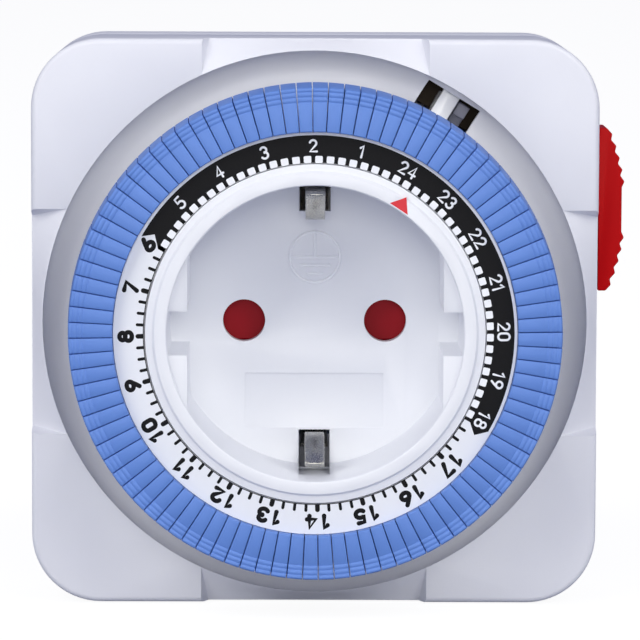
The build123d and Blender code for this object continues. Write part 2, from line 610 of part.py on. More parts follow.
with BuildPart() as rear_housing:
    with BuildSketch(front_plane(REAR_FORWARD)):
        RectangleRounded(HOUSING_SIZE, HOUSING_SIZE, CORNER_RADIUS)
    extrude(amount=SPLIT_FORWARD - REAR_FORWARD)
    fillet(rear_housing.faces().sort_by(Axis.Y)[-1].edges(), REAR_ROUNDING)
    with BuildSketch(front_plane(INNER_REAR)):
        RectangleRounded(HOUSING_INNER, HOUSING_INNER, CORNER_RADIUS - WALL)
    extrude(amount=SPLIT_FORWARD - INNER_REAR, mode=Mode.SUBTRACT)
    with BuildSketch(front_plane(0)):
        boss_outline(BOSS_RADIUS, BOSS_FLAT)
    extrude(amount=BOSS_LENGTH)
    chamfer(rear_housing.faces().sort_by(Axis.Y)[-1].edges(), EDGE_ROUNDING)
    with BuildSketch(front_plane(PLUG_FACE_THICKNESS)):
        boss_outline(BOSS_CORE_RADIUS, BOSS_CORE_FLAT)
    extrude(amount=INNER_REAR - PLUG_FACE_THICKNESS, mode=Mode.SUBTRACT)
    # ledges that carry the contact carrier, clear of pins and strips
    with BuildSketch(front_plane(PLUG_FACE_THICKNESS)):
        ledge_place = BOSS_CORE_RADIUS - CARRIER_LEDGE_INSET
        with Locations(*[polar(ledge_place, angle) for angle in CARRIER_LEDGE_ANGLES]):
            Circle(CARRIER_LEDGE_RADIUS)
    extrude(amount=CARRIER_DISC_BOTTOM - PLUG_FACE_THICKNESS)
    # grooves and openings for the earth strip
    for sign in (-1, 1):
        groove_inner = EARTH_RADIUS - EARTH_CLEARANCE
        with BuildSketch(front_plane(-CUT)):
            with Locations((0, sign * (groove_inner + BOSS_RADIUS + CUT) / 2)):
                Rectangle(EARTH_GROOVE_WIDTH, BOSS_RADIUS + CUT - groove_inner)
        extrude(amount=BOSS_LENGTH + CUT - WALL, mode=Mode.SUBTRACT)
        with BuildSketch(front_plane(REAR_FORWARD - WALL)):
            with Locations((0, sign * (EARTH_RADIUS + EARTH_STRIP / 2))):
                Rectangle(EARTH_GROOVE_WIDTH, EARTH_STRIP + 2 * EARTH_CLEARANCE)
        extrude(amount=2 * WALL, mode=Mode.SUBTRACT)
    # screw posts, movement pillars and corner sleeves
    with BuildSketch(front_plane(INNER_REAR)):
        with Locations(*EAR_PLACES):
            Circle(POST_RADIUS)
    extrude(amount=SEAT_BOTTOM - INNER_REAR)
    with BuildSketch(front_plane(INNER_REAR)):
        with Locations(*PLATE_PILLARS):
            Circle(PILLAR_RADIUS)
    extrude(amount=PLATE_FORWARD - INNER_REAR)
    with BuildSketch(front_plane(INNER_REAR)):
        with Locations(*CORNERS):
            Circle(POST_RADIUS)
    extrude(amount=SPLIT_FORWARD - INNER_REAR)
    with BuildSketch(front_plane(INNER_REAR + SCREW_HOLE_FLOOR)):
        with Locations(*EAR_PLACES, *PLATE_PILLARS):
            Circle(SCREW_RADIUS + SCREW_HOLE_CLEARANCE)
    extrude(amount=SEAT_BOTTOM - INNER_REAR, mode=Mode.SUBTRACT)
    with BuildSketch(front_plane(REAR_FORWARD)):
        with Locations(*CORNERS):
            Circle(SCREW_HEAD_RADIUS + SCREW_HEAD_CLEARANCE)
    extrude(amount=SCREW_COUNTERBORE, mode=Mode.SUBTRACT)
    with BuildSketch(front_plane(REAR_FORWARD)):
        with Locations(*CORNERS):
            Circle(SCREW_RADIUS + 2 * SCREW_HOLE_CLEARANCE)
    extrude(amount=HOUSING_DEPTH - FRONT_SHELL_DEPTH, mode=Mode.SUBTRACT)
    with BuildSketch(front_plane(-CUT)):
        with Locations(*PIN_PLACES):
            Circle(PIN_ROOT_RADIUS + PIN_FIT)
    extrude(amount=PLUG_FACE_THICKNESS + 2 * CUT, mode=Mode.SUBTRACT)
save(rear_housing.part, "rear_housing")

# ---------------------------------------------------------------- socket cup and dial seat
with BuildPart() as socket_cup:
    with BuildSketch(radial_plane()):
        with BuildLine():
            Polyline(
                (0, FLOOR_BACK),
                (CUP_SKIRT_RADIUS, FLOOR_BACK),
                (CUP_SKIRT_RADIUS, SEAT_BOTTOM - CUP_SNAP_HEIGHT),
                (CUP_NECK_RADIUS, SEAT_BOTTOM - CUP_SNAP_HEIGHT),
                (CUP_NECK_RADIUS + CUP_SNAP, SEAT_BOTTOM - SNAP_GAP),
                (CUP_NECK_RADIUS, SEAT_BOTTOM - SNAP_GAP),
                (CUP_NECK_RADIUS, SEAT_TOP),
                (CUP_OUTER_RADIUS, SEAT_TOP),
                (CUP_OUTER_RADIUS, RIM_UNDERSIDE),
                (RIM_RADIUS, RIM_UNDERSIDE),
                (RIM_RADIUS, RIM_FORWARD - RIM_STEP),
                (RIM_LIP_RADIUS + RIM_BEVEL, RIM_FORWARD - RIM_STEP),
                (RIM_LIP_RADIUS, RIM_FORWARD),
                (RECESS_RADIUS + RECESS_BEVEL, RIM_FORWARD),
                (RECESS_RADIUS, RIM_FORWARD - RECESS_BEVEL),
                (RECESS_RADIUS, FLOOR_FORWARD),
                (0, FLOOR_FORWARD),
                close=True,
            )
        make_face()
    revolve(axis=Axis.Y)
    # guide blocks on both sides of the recess, notched in the middle
    with BuildSketch(front_plane(FLOOR_FORWARD)):
        Circle(RECESS_RADIUS + BLOCK_SINK)
        Rectangle(2 * RECESS_FLAT, 2 * (RECESS_RADIUS + CUT), mode=Mode.SUBTRACT)
        Rectangle(2 * (RECESS_RADIUS + CUT), BLOCK_NOTCH, mode=Mode.SUBTRACT)
    extrude(amount=RECESS_DEPTH - BLOCK_DROP)
    with BuildSketch(front_plane(FLOOR_BACK)):
        with Locations(*PIN_PLACES):
            Circle(PIN_HOLE_RADIUS)
    extrude(amount=RECESS_FLOOR, mode=Mode.SUBTRACT)
    # slots for the earth clips, through the skirt, the floor and part of the recess wall
    slot_inner = RECESS_RADIUS - EARTH_SLOT_INSET
    slot_outer = RECESS_RADIUS + EARTH_SLOT_SINK
    with BuildSketch(front_plane(SEAT_BOTTOM - CUP_SNAP_HEIGHT)):
        with Locations(*[(0, sign * (slot_inner + slot_outer) / 2) for sign in (-1, 1)]):
            Rectangle(EARTH_SLOT_WIDTH, slot_outer - slot_inner)
    extrude(amount=RECESS_DEPTH - EARTH_SLOT_STOP + CUP_SNAP_HEIGHT, mode=Mode.SUBTRACT)
    with BuildSketch(front_plane(FLOOR_FORWARD)):
        with Locations((0, -PANEL_DROP)):
            Rectangle(PANEL_WIDTH, PANEL_HEIGHT)
    extrude(amount=-PANEL_DEPTH, mode=Mode.SUBTRACT)
    with BuildSketch(front_plane(RIM_FORWARD, POINTER_ANGLE)) as pointer_sketch:
        pointer_base = RECESS_RADIUS + POINTER_INSET
        with BuildLine():
            Polyline(
                (pointer_base, -POINTER_WIDTH / 2),
                (pointer_base + POINTER_LENGTH, 0),
                (pointer_base, POINTER_WIDTH / 2),
                close=True,
            )
        make_face()
    extrude(amount=-POINTER_DEPTH, mode=Mode.SUBTRACT)
save(socket_cup.part, "socket_cup")

with BuildPart() as pointer_triangle:
    extrude(pointer_sketch.sketch, amount=-POINTER_DEPTH)
save(pointer_triangle.part, "pointer_triangle")

with BuildPart() as dial_seat:
    with BuildSketch(front_plane(SEAT_BOTTOM)):
        Circle(SEAT_RADIUS)
        for angle in SEAT_EAR_ANGLES:
            ear = [polar(SEAT_RADIUS - SEAT_EAR_ROOT, angle), polar(SEAT_SCREW_RADIUS, angle)]
            bars_between(ear, SEAT_EAR_WIDTH)
        Circle(CUP_NECK_RADIUS + SEAT_FIT, mode=Mode.SUBTRACT)
        with Locations(*EAR_PLACES):
            Circle(SCREW_RADIUS + 2 * SCREW_HOLE_CLEARANCE, mode=Mode.SUBTRACT)
    extrude(amount=SEAT_THICKNESS)
save(dial_seat.part, "dial_seat")

# ---------------------------------------------------------------- dial wheel
with BuildPart() as dial_wheel:
    with BuildSketch(radial_plane()):
        with BuildLine():
            Polyline(
                (DIAL_BORE, DIAL_BOTTOM),
                (DIAL_HUB_RADIUS, DIAL_BOTTOM),
                (DIAL_HUB_RADIUS, DIAL_FLOOR_BOTTOM),
                (DIAL_FLOOR_RADIUS, DIAL_FLOOR_BOTTOM),
                (DIAL_FLOOR_RADIUS, DIAL_FLOOR_TOP),
                (SCALE_RADIUS, DIAL_FLOOR_TOP),
                (SCALE_RADIUS, DIAL_TOP),
                (DIAL_BORE, DIAL_TOP),
                close=True,
            )
        make_face()
        with BuildLine():
            Polyline(
                (DIAL_HUB_RADIUS, DIAL_FLOOR_BOTTOM),
                (SCALE_RADIUS - DIAL_TUBE_WALL, DIAL_FLOOR_BOTTOM),
                (SCALE_RADIUS - DIAL_TUBE_WALL, DIAL_TOP - DIAL_TOP_PLATE),
                (DIAL_HUB_RADIUS, DIAL_TOP - DIAL_TOP_PLATE),
                close=True,
            )
        make_face(mode=Mode.SUBTRACT)
    revolve(axis=Axis.Y)
    # slots that guide the segments' tails
    with BuildSketch(front_plane(DIAL_FLOOR_BOTTOM, DIAL_PHASE + SEGMENT_PITCH / 2)):
        with PolarLocations((TAIL_INNER + TAIL_OUTER) / 2, HOURS * SEGMENTS_PER_HOUR):
            Rectangle(
                TAIL_OUTER - TAIL_INNER + 2 * TAIL_CLEARANCE,
                TAIL_WIDTH + 2 * TAIL_CLEARANCE,
            )
    extrude(amount=DIAL_FLOOR_THICKNESS, mode=Mode.SUBTRACT)
    with BuildSketch(front_plane(DIAL_BOTTOM)):
        with BuildLine():
            Polyline(*gear_points(DIAL_TEETH, DIAL_MODULE, DIAL_PHASE, DIAL_SLIM), close=True)
        make_face()
        Circle((DIAL_BORE + DIAL_HUB_RADIUS) / 2, mode=Mode.SUBTRACT)
    extrude(amount=DIAL_GEAR_WIDTH)
save(dial_wheel.part, "dial_wheel")

with BuildPart() as scale_ring:
    with BuildSketch(front_plane(DIAL_TOP)):
        Circle(SCALE_RADIUS)
        Circle(RIM_RADIUS + SCALE_GAP, mode=Mode.SUBTRACT)
    extrude(amount=SCALE_THICKNESS)
save(scale_ring.part, "scale_ring")

# ---------------------------------------------------------------- push segments
groove_points = []
for inset in SEGMENT_GROOVES:
    groove = SEGMENT_TOP_RADIUS - inset
    groove_points += [
        (groove - SEGMENT_GROOVE_HALF, DRUM_FORWARD),
        (groove, DRUM_FORWARD - SEGMENT_GROOVE_DEPTH),
        (groove + SEGMENT_GROOVE_HALF, DRUM_FORWARD),
    ]
with BuildPart() as segment:
    half_arc = (SEGMENT_PITCH - SEGMENT_GAP) / 2
    with BuildSketch(radial_plane(half_arc)):
        with BuildLine():
            Polyline(
                (SEGMENT_INNER, SEGMENT_FOOT),
                (SEGMENT_INNER, DRUM_FORWARD - SEGMENT_ROUND),
                (SEGMENT_INNER + 0.3 * SEGMENT_ROUND, DRUM_FORWARD - 0.3 * SEGMENT_ROUND),
                (SEGMENT_INNER + SEGMENT_ROUND, DRUM_FORWARD),
                *groove_points,
                (SEGMENT_TOP_RADIUS, DRUM_FORWARD - 0.1 * SEGMENT_ROUND),
                (SEGMENT_TOP_RADIUS + 0.4 * SEGMENT_ROUND, DRUM_FORWARD - SEGMENT_ROUND),
                (SEGMENT_FOOT_RADIUS, SEGMENT_FOOT + SEGMENT_ROUND),
                (SEGMENT_FOOT_RADIUS - SEGMENT_ROUND, SEGMENT_FOOT),
                close=True,
            )
        make_face()
    revolve(axis=Axis.Y, revolution_arc=2 * half_arc)
    with BuildSketch(radial_plane(0, TAIL_WIDTH / 2)):
        with BuildLine():
            Polyline(
                (TAIL_INNER, SEGMENT_FOOT + SEGMENT_ROUND),
                (TAIL_INNER, TAIL_END),
                (TAIL_OUTER, TAIL_END),
                (TAIL_OUTER + TAIL_SNAP, TAIL_END + TAIL_SNAP_HEIGHT / 2),
                (TAIL_OUTER, TAIL_END + TAIL_SNAP_HEIGHT),
                (TAIL_OUTER, SEGMENT_FOOT + SEGMENT_ROUND),
                close=True,
            )
        make_face()
    extrude(amount=TAIL_WIDTH)

with BuildPart() as hour_group:
    for index in range(SEGMENTS_PER_HOUR):
        add(segment.part, rotation=(0, -SEGMENT_PITCH * (index + 0.5), 0))

for hour in range(1, HOURS + 1):
    with BuildPart() as segments_hour:
        add(hour_group.part, rotation=(0, -(DIAL_PHASE + 360 / HOURS * hour), 0))
    save(segments_hour.part, f"segments_hour_{hour:02d}")

# ---------------------------------------------------------------- trip lever, its pin and the switch
nose_inner = TAIL_OUTER + TAIL_SNAP + LEVER_NOSE_GAP
lever_ccw_side = LEVER_SIDE + LEVER_WIDTH
blade_bottom = LEVER_BLADE_TOP - LEVER_BLADE_DEPTH
with BuildPart() as trip_lever:
    with BuildSketch(radial_plane(WINDOW_ANGLE, lever_ccw_side)):
        nose_outer = nose_inner + LEVER_NOSE_WIDTH
        nose_top = DIAL_FLOOR_BOTTOM - LEVER_NOSE_DROP
        arm_bottom = LEVER_PIVOT_FORWARD - LEVER_ARM_ROOT
        with BuildLine():
            Polyline(
                (nose_inner, LEVER_PIVOT_FORWARD),
                (nose_inner, nose_top),
                (nose_outer - LEVER_NOSE_BEVEL, nose_top),
                (nose_outer, nose_top - LEVER_NOSE_SLOPE),
                (nose_outer, LEVER_BLADE_TOP),
                (LEVER_BLADE_END, LEVER_BLADE_TOP),
                (LEVER_BLADE_END, blade_bottom + LEVER_BLADE_BEVEL),
                (LEVER_BLADE_END - 2 * LEVER_BLADE_BEVEL, blade_bottom),
                (nose_outer + LEVER_WEB, blade_bottom),
                (nose_outer, blade_bottom - LEVER_WEB),
                (nose_outer, LEVER_PIVOT_FORWARD + LEVER_ARM_ROOT),
                (LEVER_ARM_RADIUS, LEVER_PIVOT_FORWARD - LEVER_WEB),
                (LEVER_ARM_RADIUS, LEAF_TOP + LEVER_TO_LEAF),
                (LEVER_ARM_RADIUS - LEVER_ARM_TIP, LEAF_TOP + LEVER_TO_LEAF),
                (LEVER_ARM_RADIUS - LEVER_ARM_TIP - LEVER_HUB_RADIUS, arm_bottom),
                (LEVER_PIVOT_RADIUS, arm_bottom),
                close=True,
            )
        make_face()
        with Locations((LEVER_PIVOT_RADIUS, LEVER_PIVOT_FORWARD)):
            Circle(LEVER_HUB_RADIUS)
            Circle(LEVER_PIN_RADIUS + PIVOT_CLEARANCE, mode=Mode.SUBTRACT)
    extrude(amount=LEVER_WIDTH)
save(trip_lever.part, "trip_lever")

pin_half_span = LEVER_WIDTH / 2 + LUG_GAP + LUG_WIDTH
lever_middle = LEVER_SIDE + LEVER_WIDTH / 2
with BuildPart() as lever_pin:
    with BuildSketch(radial_plane(WINDOW_ANGLE, lever_middle + pin_half_span)):
        with Locations((LEVER_PIVOT_RADIUS, LEVER_PIVOT_FORWARD)):
            Circle(LEVER_PIN_RADIUS)
    extrude(amount=2 * pin_half_span)
save(lever_pin.part, "lever_pin")

base_top = INNER_REAR + SWITCH_BASE_HEIGHT
pillar_middle = LEAF_ROOT - PILLAR_LENGTH / 2
leaf_middle = (LEAF_INNER + LEAF_OUTER) / 2
pillar_width = LEAF_WIDTH - 2 * PILLAR_INSET
with BuildPart() as switch_base:
    with BuildSketch(front_plane(INNER_REAR, WINDOW_ANGLE)):
        with Locations(((SWITCH_BASE_INNER + LEAF_OUTER) / 2, (LEAF_ROOT - LEAF_TIP) / 2)):
            base_length = LEAF_ROOT + LEAF_TIP + 2 * SWITCH_BASE_END
            Rectangle(LEAF_OUTER - SWITCH_BASE_INNER, base_length)
    extrude(amount=SWITCH_BASE_HEIGHT)
    with BuildSketch(front_plane(base_top, WINDOW_ANGLE)):
        with Locations((leaf_middle, pillar_middle)):
            Rectangle(pillar_width, PILLAR_LENGTH)
    extrude(amount=LEAF_FORWARD - LEVER_TO_LEAF - base_top)
    with BuildSketch(front_plane(base_top, WINDOW_ANGLE)):
        with Locations((leaf_middle, -BUTTON_SIDE)):
            Rectangle(pillar_width, PILLAR_LENGTH)
    extrude(amount=FIXED_TOP - STRIP_THICKNESS - base_top)
    # lugs that carry the lever's pin; the clockwise one rises into the window
    lug_outer = LEAF_INNER - STRIP_CLEARANCE
    lug_top = LEVER_PIVOT_FORWARD + LUG_REACH
    for lug_side in (lever_middle + pin_half_span, LEVER_SIDE - LUG_GAP):
        with BuildSketch(radial_plane(WINDOW_ANGLE, lug_side)):
            with BuildLine():
                Polyline(
                    (SWITCH_BASE_INNER, base_top),
                    (SWITCH_BASE_INNER, lug_top),
                    (lug_outer, lug_top),
                    (lug_outer, base_top),
                    close=True,
                )
            make_face()
            with Locations((LEVER_PIVOT_RADIUS, LEVER_PIVOT_FORWARD)):
                Circle(LEVER_PIN_RADIUS + LEVER_PIN_FIT, mode=Mode.SUBTRACT)
        extrude(amount=LUG_WIDTH)
    with BuildSketch(radial_plane(WINDOW_ANGLE, LEVER_SIDE - LUG_GAP)):
        with BuildLine():
            Polyline(
                (lug_outer - STRIP_CLEARANCE, LEVER_PIVOT_FORWARD + TAB_ROOT),
                (lug_outer - STRIP_CLEARANCE, lug_top),
                (TAB_INNER, LEVER_PIVOT_FORWARD + TAB_RISE - CUT),
                (TAB_INNER, LEVER_PIVOT_FORWARD + TAB_RISE),
                (TAB_OUTER, LEVER_PIVOT_FORWARD + TAB_RISE),
                (TAB_OUTER, LEVER_PIVOT_FORWARD + TAB_ROOT),
                close=True,
            )
        make_face()
    extrude(amount=LUG_WIDTH)
save(switch_base.part, "switch_base")

with BuildPart() as moving_contact:
    with BuildSketch(front_plane(LEAF_FORWARD, WINDOW_ANGLE)):
        with Locations((leaf_middle, (LEAF_ROOT - LEAF_TIP) / 2)):
            Rectangle(LEAF_WIDTH, LEAF_ROOT + LEAF_TIP)
    extrude(amount=LEAF_THICKNESS)
    with BuildSketch(front_plane(LEAF_FORWARD, WINDOW_ANGLE)):
        with Locations((leaf_middle, -BUTTON_SIDE)):
            Circle(BUTTON_RADIUS)
    extrude(amount=-BUTTON_HEIGHT)
save(moving_contact.part, "moving_contact")

# ---------------------------------------------------------------- contact clips and strips
strip_z = CARRIER_HALF_WIDTH + STRIP_RISE
strip_top = INNER_REAR + STRIP_THICKNESS
fixed_place = (
    leaf_middle * cos(radians(WINDOW_ANGLE)) + BUTTON_SIDE * sin(radians(WINDOW_ANGLE)),
    leaf_middle * sin(radians(WINDOW_ANGLE)) - BUTTON_SIDE * cos(radians(WINDOW_ANGLE)),
)
riser_x = fixed_place[0] + RISER_ALONG
riser_z = fixed_place[1] - RISER_BELOW


def contact_clip(x):
    """Sprung clip for one pin, open to the front, in the current part."""
    with BuildSketch(Plane.XY.offset(-CLIP_BREADTH / 2)) as profile:
        with BuildLine():
            outer = (
                (CLIP_HALF_WIDTH, POCKET_BOTTOM),
                (CLIP_HALF_WIDTH, CLIP_TOP - CLIP_NECK),
                (CLIP_THROAT + CLIP_THICKNESS, CLIP_TOP - CLIP_MOUTH),
                (CLIP_HALF_WIDTH + CLIP_FLARE, CLIP_TOP),
            )
            inner_side = (
                (CLIP_HALF_WIDTH + CLIP_FLARE - CLIP_LIP, CLIP_TOP),
                (CLIP_THROAT, CLIP_TOP - CLIP_MOUTH),
                (CLIP_HALF_WIDTH - CLIP_THICKNESS, CLIP_TOP - CLIP_NECK),
                (CLIP_HALF_WIDTH - CLIP_THICKNESS, POCKET_BOTTOM + CLIP_THICKNESS),
            )
            right = outer + inner_side
            left = [(-px, py) for px, py in reversed(right)]
            Polyline(*[(x + px, -py) for px, py in (*right, *left)], close=True)
        make_face()
    extrude(profile.sketch, amount=CLIP_BREADTH)


def tongue(x):
    """Tongue from the clip through the carrier to the inner end of a plug pin."""
    with BuildSketch(front_plane(PIN_END)) as profile:
        with Locations((x, 0)):
            Rectangle(STRIP_THICKNESS, TONGUE_WIDTH)
    extrude(profile.sketch, amount=POCKET_BOTTOM + CLIP_THICKNESS / 2 - PIN_END)


with BuildPart() as neutral_contact:
    contact_clip(-HALF_PITCH)
    tongue(-HALF_PITCH)
save(neutral_contact.part, "neutral_contact")

lead_bottom = POCKET_BOTTOM + LEAD_RISE
root_place = (
    leaf_middle * cos(radians(WINDOW_ANGLE)) - pillar_middle * sin(radians(WINDOW_ANGLE)),
    leaf_middle * sin(radians(WINDOW_ANGLE)) + pillar_middle * cos(radians(WINDOW_ANGLE)),
)
lead_end = root_place[1] - LEAD_STOP
tab_bottom = LEAF_TOP + LEVER_TO_LEAF
with BuildPart() as line_contact:
    contact_clip(HALF_PITCH)
    with BuildSketch(front_plane(lead_bottom)):
        with Locations((HALF_PITCH, (lead_end + CLIP_BREADTH / 2) / 2)):
            Rectangle(STRIP_WIDTH, lead_end - CLIP_BREADTH / 2)
        with Locations((HALF_PITCH, (CLIP_BREADTH - STRIP_THICKNESS) / 2)):
            Rectangle(2 * CLIP_HALF_WIDTH - CLIP_THICKNESS, STRIP_THICKNESS)
    extrude(amount=STRIP_THICKNESS)
    with BuildSketch(front_plane(lead_bottom)):
        with Locations((HALF_PITCH, lead_end - STRIP_THICKNESS / 2)):
            Rectangle(STRIP_WIDTH, STRIP_THICKNESS)
    extrude(amount=tab_bottom + STRIP_THICKNESS - lead_bottom)
    with BuildSketch(front_plane(tab_bottom)):
        with Locations((HALF_PITCH, (lead_end + root_place[1]) / 2)):
            Rectangle(STRIP_WIDTH, LEAD_STOP + PILLAR_LENGTH / 3)
    extrude(amount=STRIP_THICKNESS)
save(line_contact.part, "line_contact")

with BuildPart() as fixed_contact:
    # from the inner end of the line pin, up out of the boss and across the rear wall
    with BuildSketch(front_plane(PIN_END)):
        with Locations((HALF_PITCH, strip_z / 2)):
            Rectangle(STRIP_WIDTH, strip_z + PIN_DIAMETER / 2)
    extrude(amount=STRIP_THICKNESS)
    with BuildSketch(front_plane(PIN_END)):
        with Locations((HALF_PITCH, strip_z + (PIN_DIAMETER / 2 - STRIP_THICKNESS) / 2)):
            Rectangle(STRIP_WIDTH, STRIP_THICKNESS)
    extrude(amount=strip_top - PIN_END)
    with BuildSketch(front_plane(INNER_REAR)):
        with Locations(((HALF_PITCH + riser_x) / 2, strip_z + PIN_DIAMETER / 4)):
            Rectangle(riser_x - HALF_PITCH + STRIP_WIDTH, STRIP_WIDTH)
        with Locations((riser_x, (strip_z + riser_z) / 2)):
            Rectangle(STRIP_WIDTH, riser_z - strip_z)
    extrude(amount=STRIP_THICKNESS)
    with BuildSketch(front_plane(INNER_REAR)):
        with Locations((riser_x, riser_z - STRIP_THICKNESS / 2)):
            Rectangle(STRIP_WIDTH, STRIP_THICKNESS)
    extrude(amount=FIXED_TOP - INNER_REAR)
    with BuildSketch(front_plane(FIXED_TOP - STRIP_THICKNESS)):
        shelf_middle = (fixed_place[1] + riser_z + STRIP_THICKNESS) / 2
        with Locations(((riser_x + fixed_place[0]) / 2, shelf_middle)):
            Rectangle(RISER_ALONG + STRIP_WIDTH, RISER_BELOW + 3 * STRIP_THICKNESS)
    extrude(amount=STRIP_THICKNESS)
    with BuildSketch(front_plane(FIXED_TOP)):
        with Locations(fixed_place):
            Circle(BUTTON_RADIUS)
    extrude(amount=BUTTON_HEIGHT)
save(fixed_contact.part, "fixed_contact")

# ---------------------------------------------------------------- contact carrier and shutter
spring_pocket_depth = SPRING_TURNS * SPRING_PITCH + SPRING_POCKET_FLOOR
with BuildPart() as contact_carrier:
    with BuildSketch(front_plane(CARRIER_DISC_BOTTOM)):
        boss_outline(BOSS_CORE_RADIUS - CARRIER_DISC_FIT, BOSS_CORE_FLAT - CARRIER_DISC_FIT)
    extrude(amount=CARRIER_DISC_THICKNESS)
    with BuildSketch(front_plane(INNER_REAR)):
        RectangleRounded(2 * CARRIER_HALF_LENGTH, 2 * CARRIER_HALF_WIDTH, CARRIER_ROUND)
    extrude(amount=CARRIER_TOP - INNER_REAR)
    with BuildSketch(front_plane(POCKET_BOTTOM)):
        with Locations(*PIN_PLACES):
            Rectangle(POCKET_LENGTH, POCKET_WIDTH)
    extrude(amount=CARRIER_TOP - POCKET_BOTTOM, mode=Mode.SUBTRACT)
    with BuildSketch(front_plane(CARRIER_TOP)):
        Circle(SPRING_POCKET_RADIUS)
    extrude(amount=-spring_pocket_depth, mode=Mode.SUBTRACT)
    with BuildSketch(front_plane(CARRIER_TOP - spring_pocket_depth - PEG_SINK)):
        Circle(PEG_RADIUS)
    extrude(amount=spring_pocket_depth + PEG_SINK + SHUTTER_LIFT + SHUTTER_THICKNESS)
    # way through for the tongue, the line strips and the earth strip's bridge
    strip_way = STRIP_WIDTH + 3 * STRIP_CLEARANCE
    with BuildSketch(front_plane(CARRIER_DISC_BOTTOM)):
        with Locations((-HALF_PITCH, 0)):
            Rectangle(STRIP_THICKNESS + 2 * STRIP_CLEARANCE, TONGUE_WIDTH + 2 * STRIP_CLEARANCE)
        with Locations((HALF_PITCH, strip_z + (PIN_DIAMETER / 2 - STRIP_THICKNESS) / 2)):
            Rectangle(strip_way, STRIP_THICKNESS + 2 * STRIP_CLEARANCE)
    extrude(amount=CARRIER_DISC_THICKNESS + POCKET_FLOOR, mode=Mode.SUBTRACT)
    with BuildSketch(front_plane(lead_bottom - STRIP_CLEARANCE)):
        with Locations((HALF_PITCH, CARRIER_HALF_WIDTH)):
            Rectangle(strip_way, 2 * CARRIER_HALF_WIDTH - POCKET_WIDTH + CUT)
    extrude(amount=CARRIER_TOP - lead_bottom + STRIP_CLEARANCE, mode=Mode.SUBTRACT)
    with BuildSketch(front_plane(INNER_REAR)):
        Rectangle(EARTH_SLOT_WIDTH, 2 * CARRIER_HALF_WIDTH + CUT)
    extrude(amount=EARTH_STRIP + 2 * EARTH_CLEARANCE, mode=Mode.SUBTRACT)
save(contact_carrier.part, "contact_carrier")

with BuildPart() as safety_shutter:
    with BuildSketch(front_plane(SHUTTER_BOTTOM)):
        Circle(SHUTTER_RADIUS)
        Rectangle(2 * SHUTTER_RADIUS, SHUTTER_WIDTH, mode=Mode.INTERSECT)
        Circle(SHUTTER_HUB_RADIUS)
        Circle(PEG_RADIUS + PIVOT_CLEARANCE, mode=Mode.SUBTRACT)
    extrude(amount=SHUTTER_THICKNESS)
    # ramps that the pins push aside
    ramp_edges = safety_shutter.faces().sort_by(Axis.Y)[0].edges().filter_by(Axis.X)
    chamfer(ramp_edges, SHUTTER_RAMP)
save(safety_shutter.part, "safety_shutter")

with BuildPart() as shutter_spring:
    spring_base = CARRIER_TOP - SPRING_TURNS * SPRING_PITCH - 2 * SPRING_WIRE_RADIUS
    with BuildLine() as spring_path:
        Helix(
            pitch=SPRING_PITCH,
            height=SPRING_TURNS * SPRING_PITCH,
            radius=SPRING_RADIUS,
            center=(0, -spring_base, 0),
            direction=(0, -1, 0),
        )
    with BuildSketch(Plane(spring_path.edges()[0] @ 0, z_dir=spring_path.edges()[0] % 0)):
        Circle(SPRING_WIRE_RADIUS)
    sweep()
save(shutter_spring.part, "shutter_spring")

# ---------------------------------------------------------------- plug pins
pin_radius = PIN_DIAMETER / 2
for label, x in (("neutral_pin", -HALF_PITCH), ("line_pin", HALF_PITCH)):
    with BuildPart() as plug_pin:
        with BuildSketch(Plane.XY):
            with BuildLine():
                Polyline(
                    (x, PIN_LENGTH),
                    (x + pin_radius - PIN_END_ROUND, PIN_LENGTH),
                    (x + pin_radius - 0.3 * PIN_END_ROUND, PIN_LENGTH - 0.3 * PIN_END_ROUND),
                    (x + pin_radius, PIN_LENGTH - PIN_END_ROUND),
                    (x + pin_radius, PIN_ROOT_CONE),
                    (x + PIN_ROOT_RADIUS, 0),
                    (x + PIN_ROOT_RADIUS, -PLUG_FACE_THICKNESS),
                    (x + PIN_SHOULDER_RADIUS, -PLUG_FACE_THICKNESS),
                    (x + PIN_SHOULDER_RADIUS, -PLUG_FACE_THICKNESS - PIN_SHOULDER),
                    (x + PIN_TAIL_RADIUS, -PLUG_FACE_THICKNESS - PIN_SHOULDER),
                    (x + PIN_TAIL_RADIUS, -PIN_END),
                    (x, -PIN_END),
                    close=True,
                )
            make_face()
        revolve(axis=Axis((x, 0, 0), (0, 1, 0)))
    save(plug_pin.part, label)

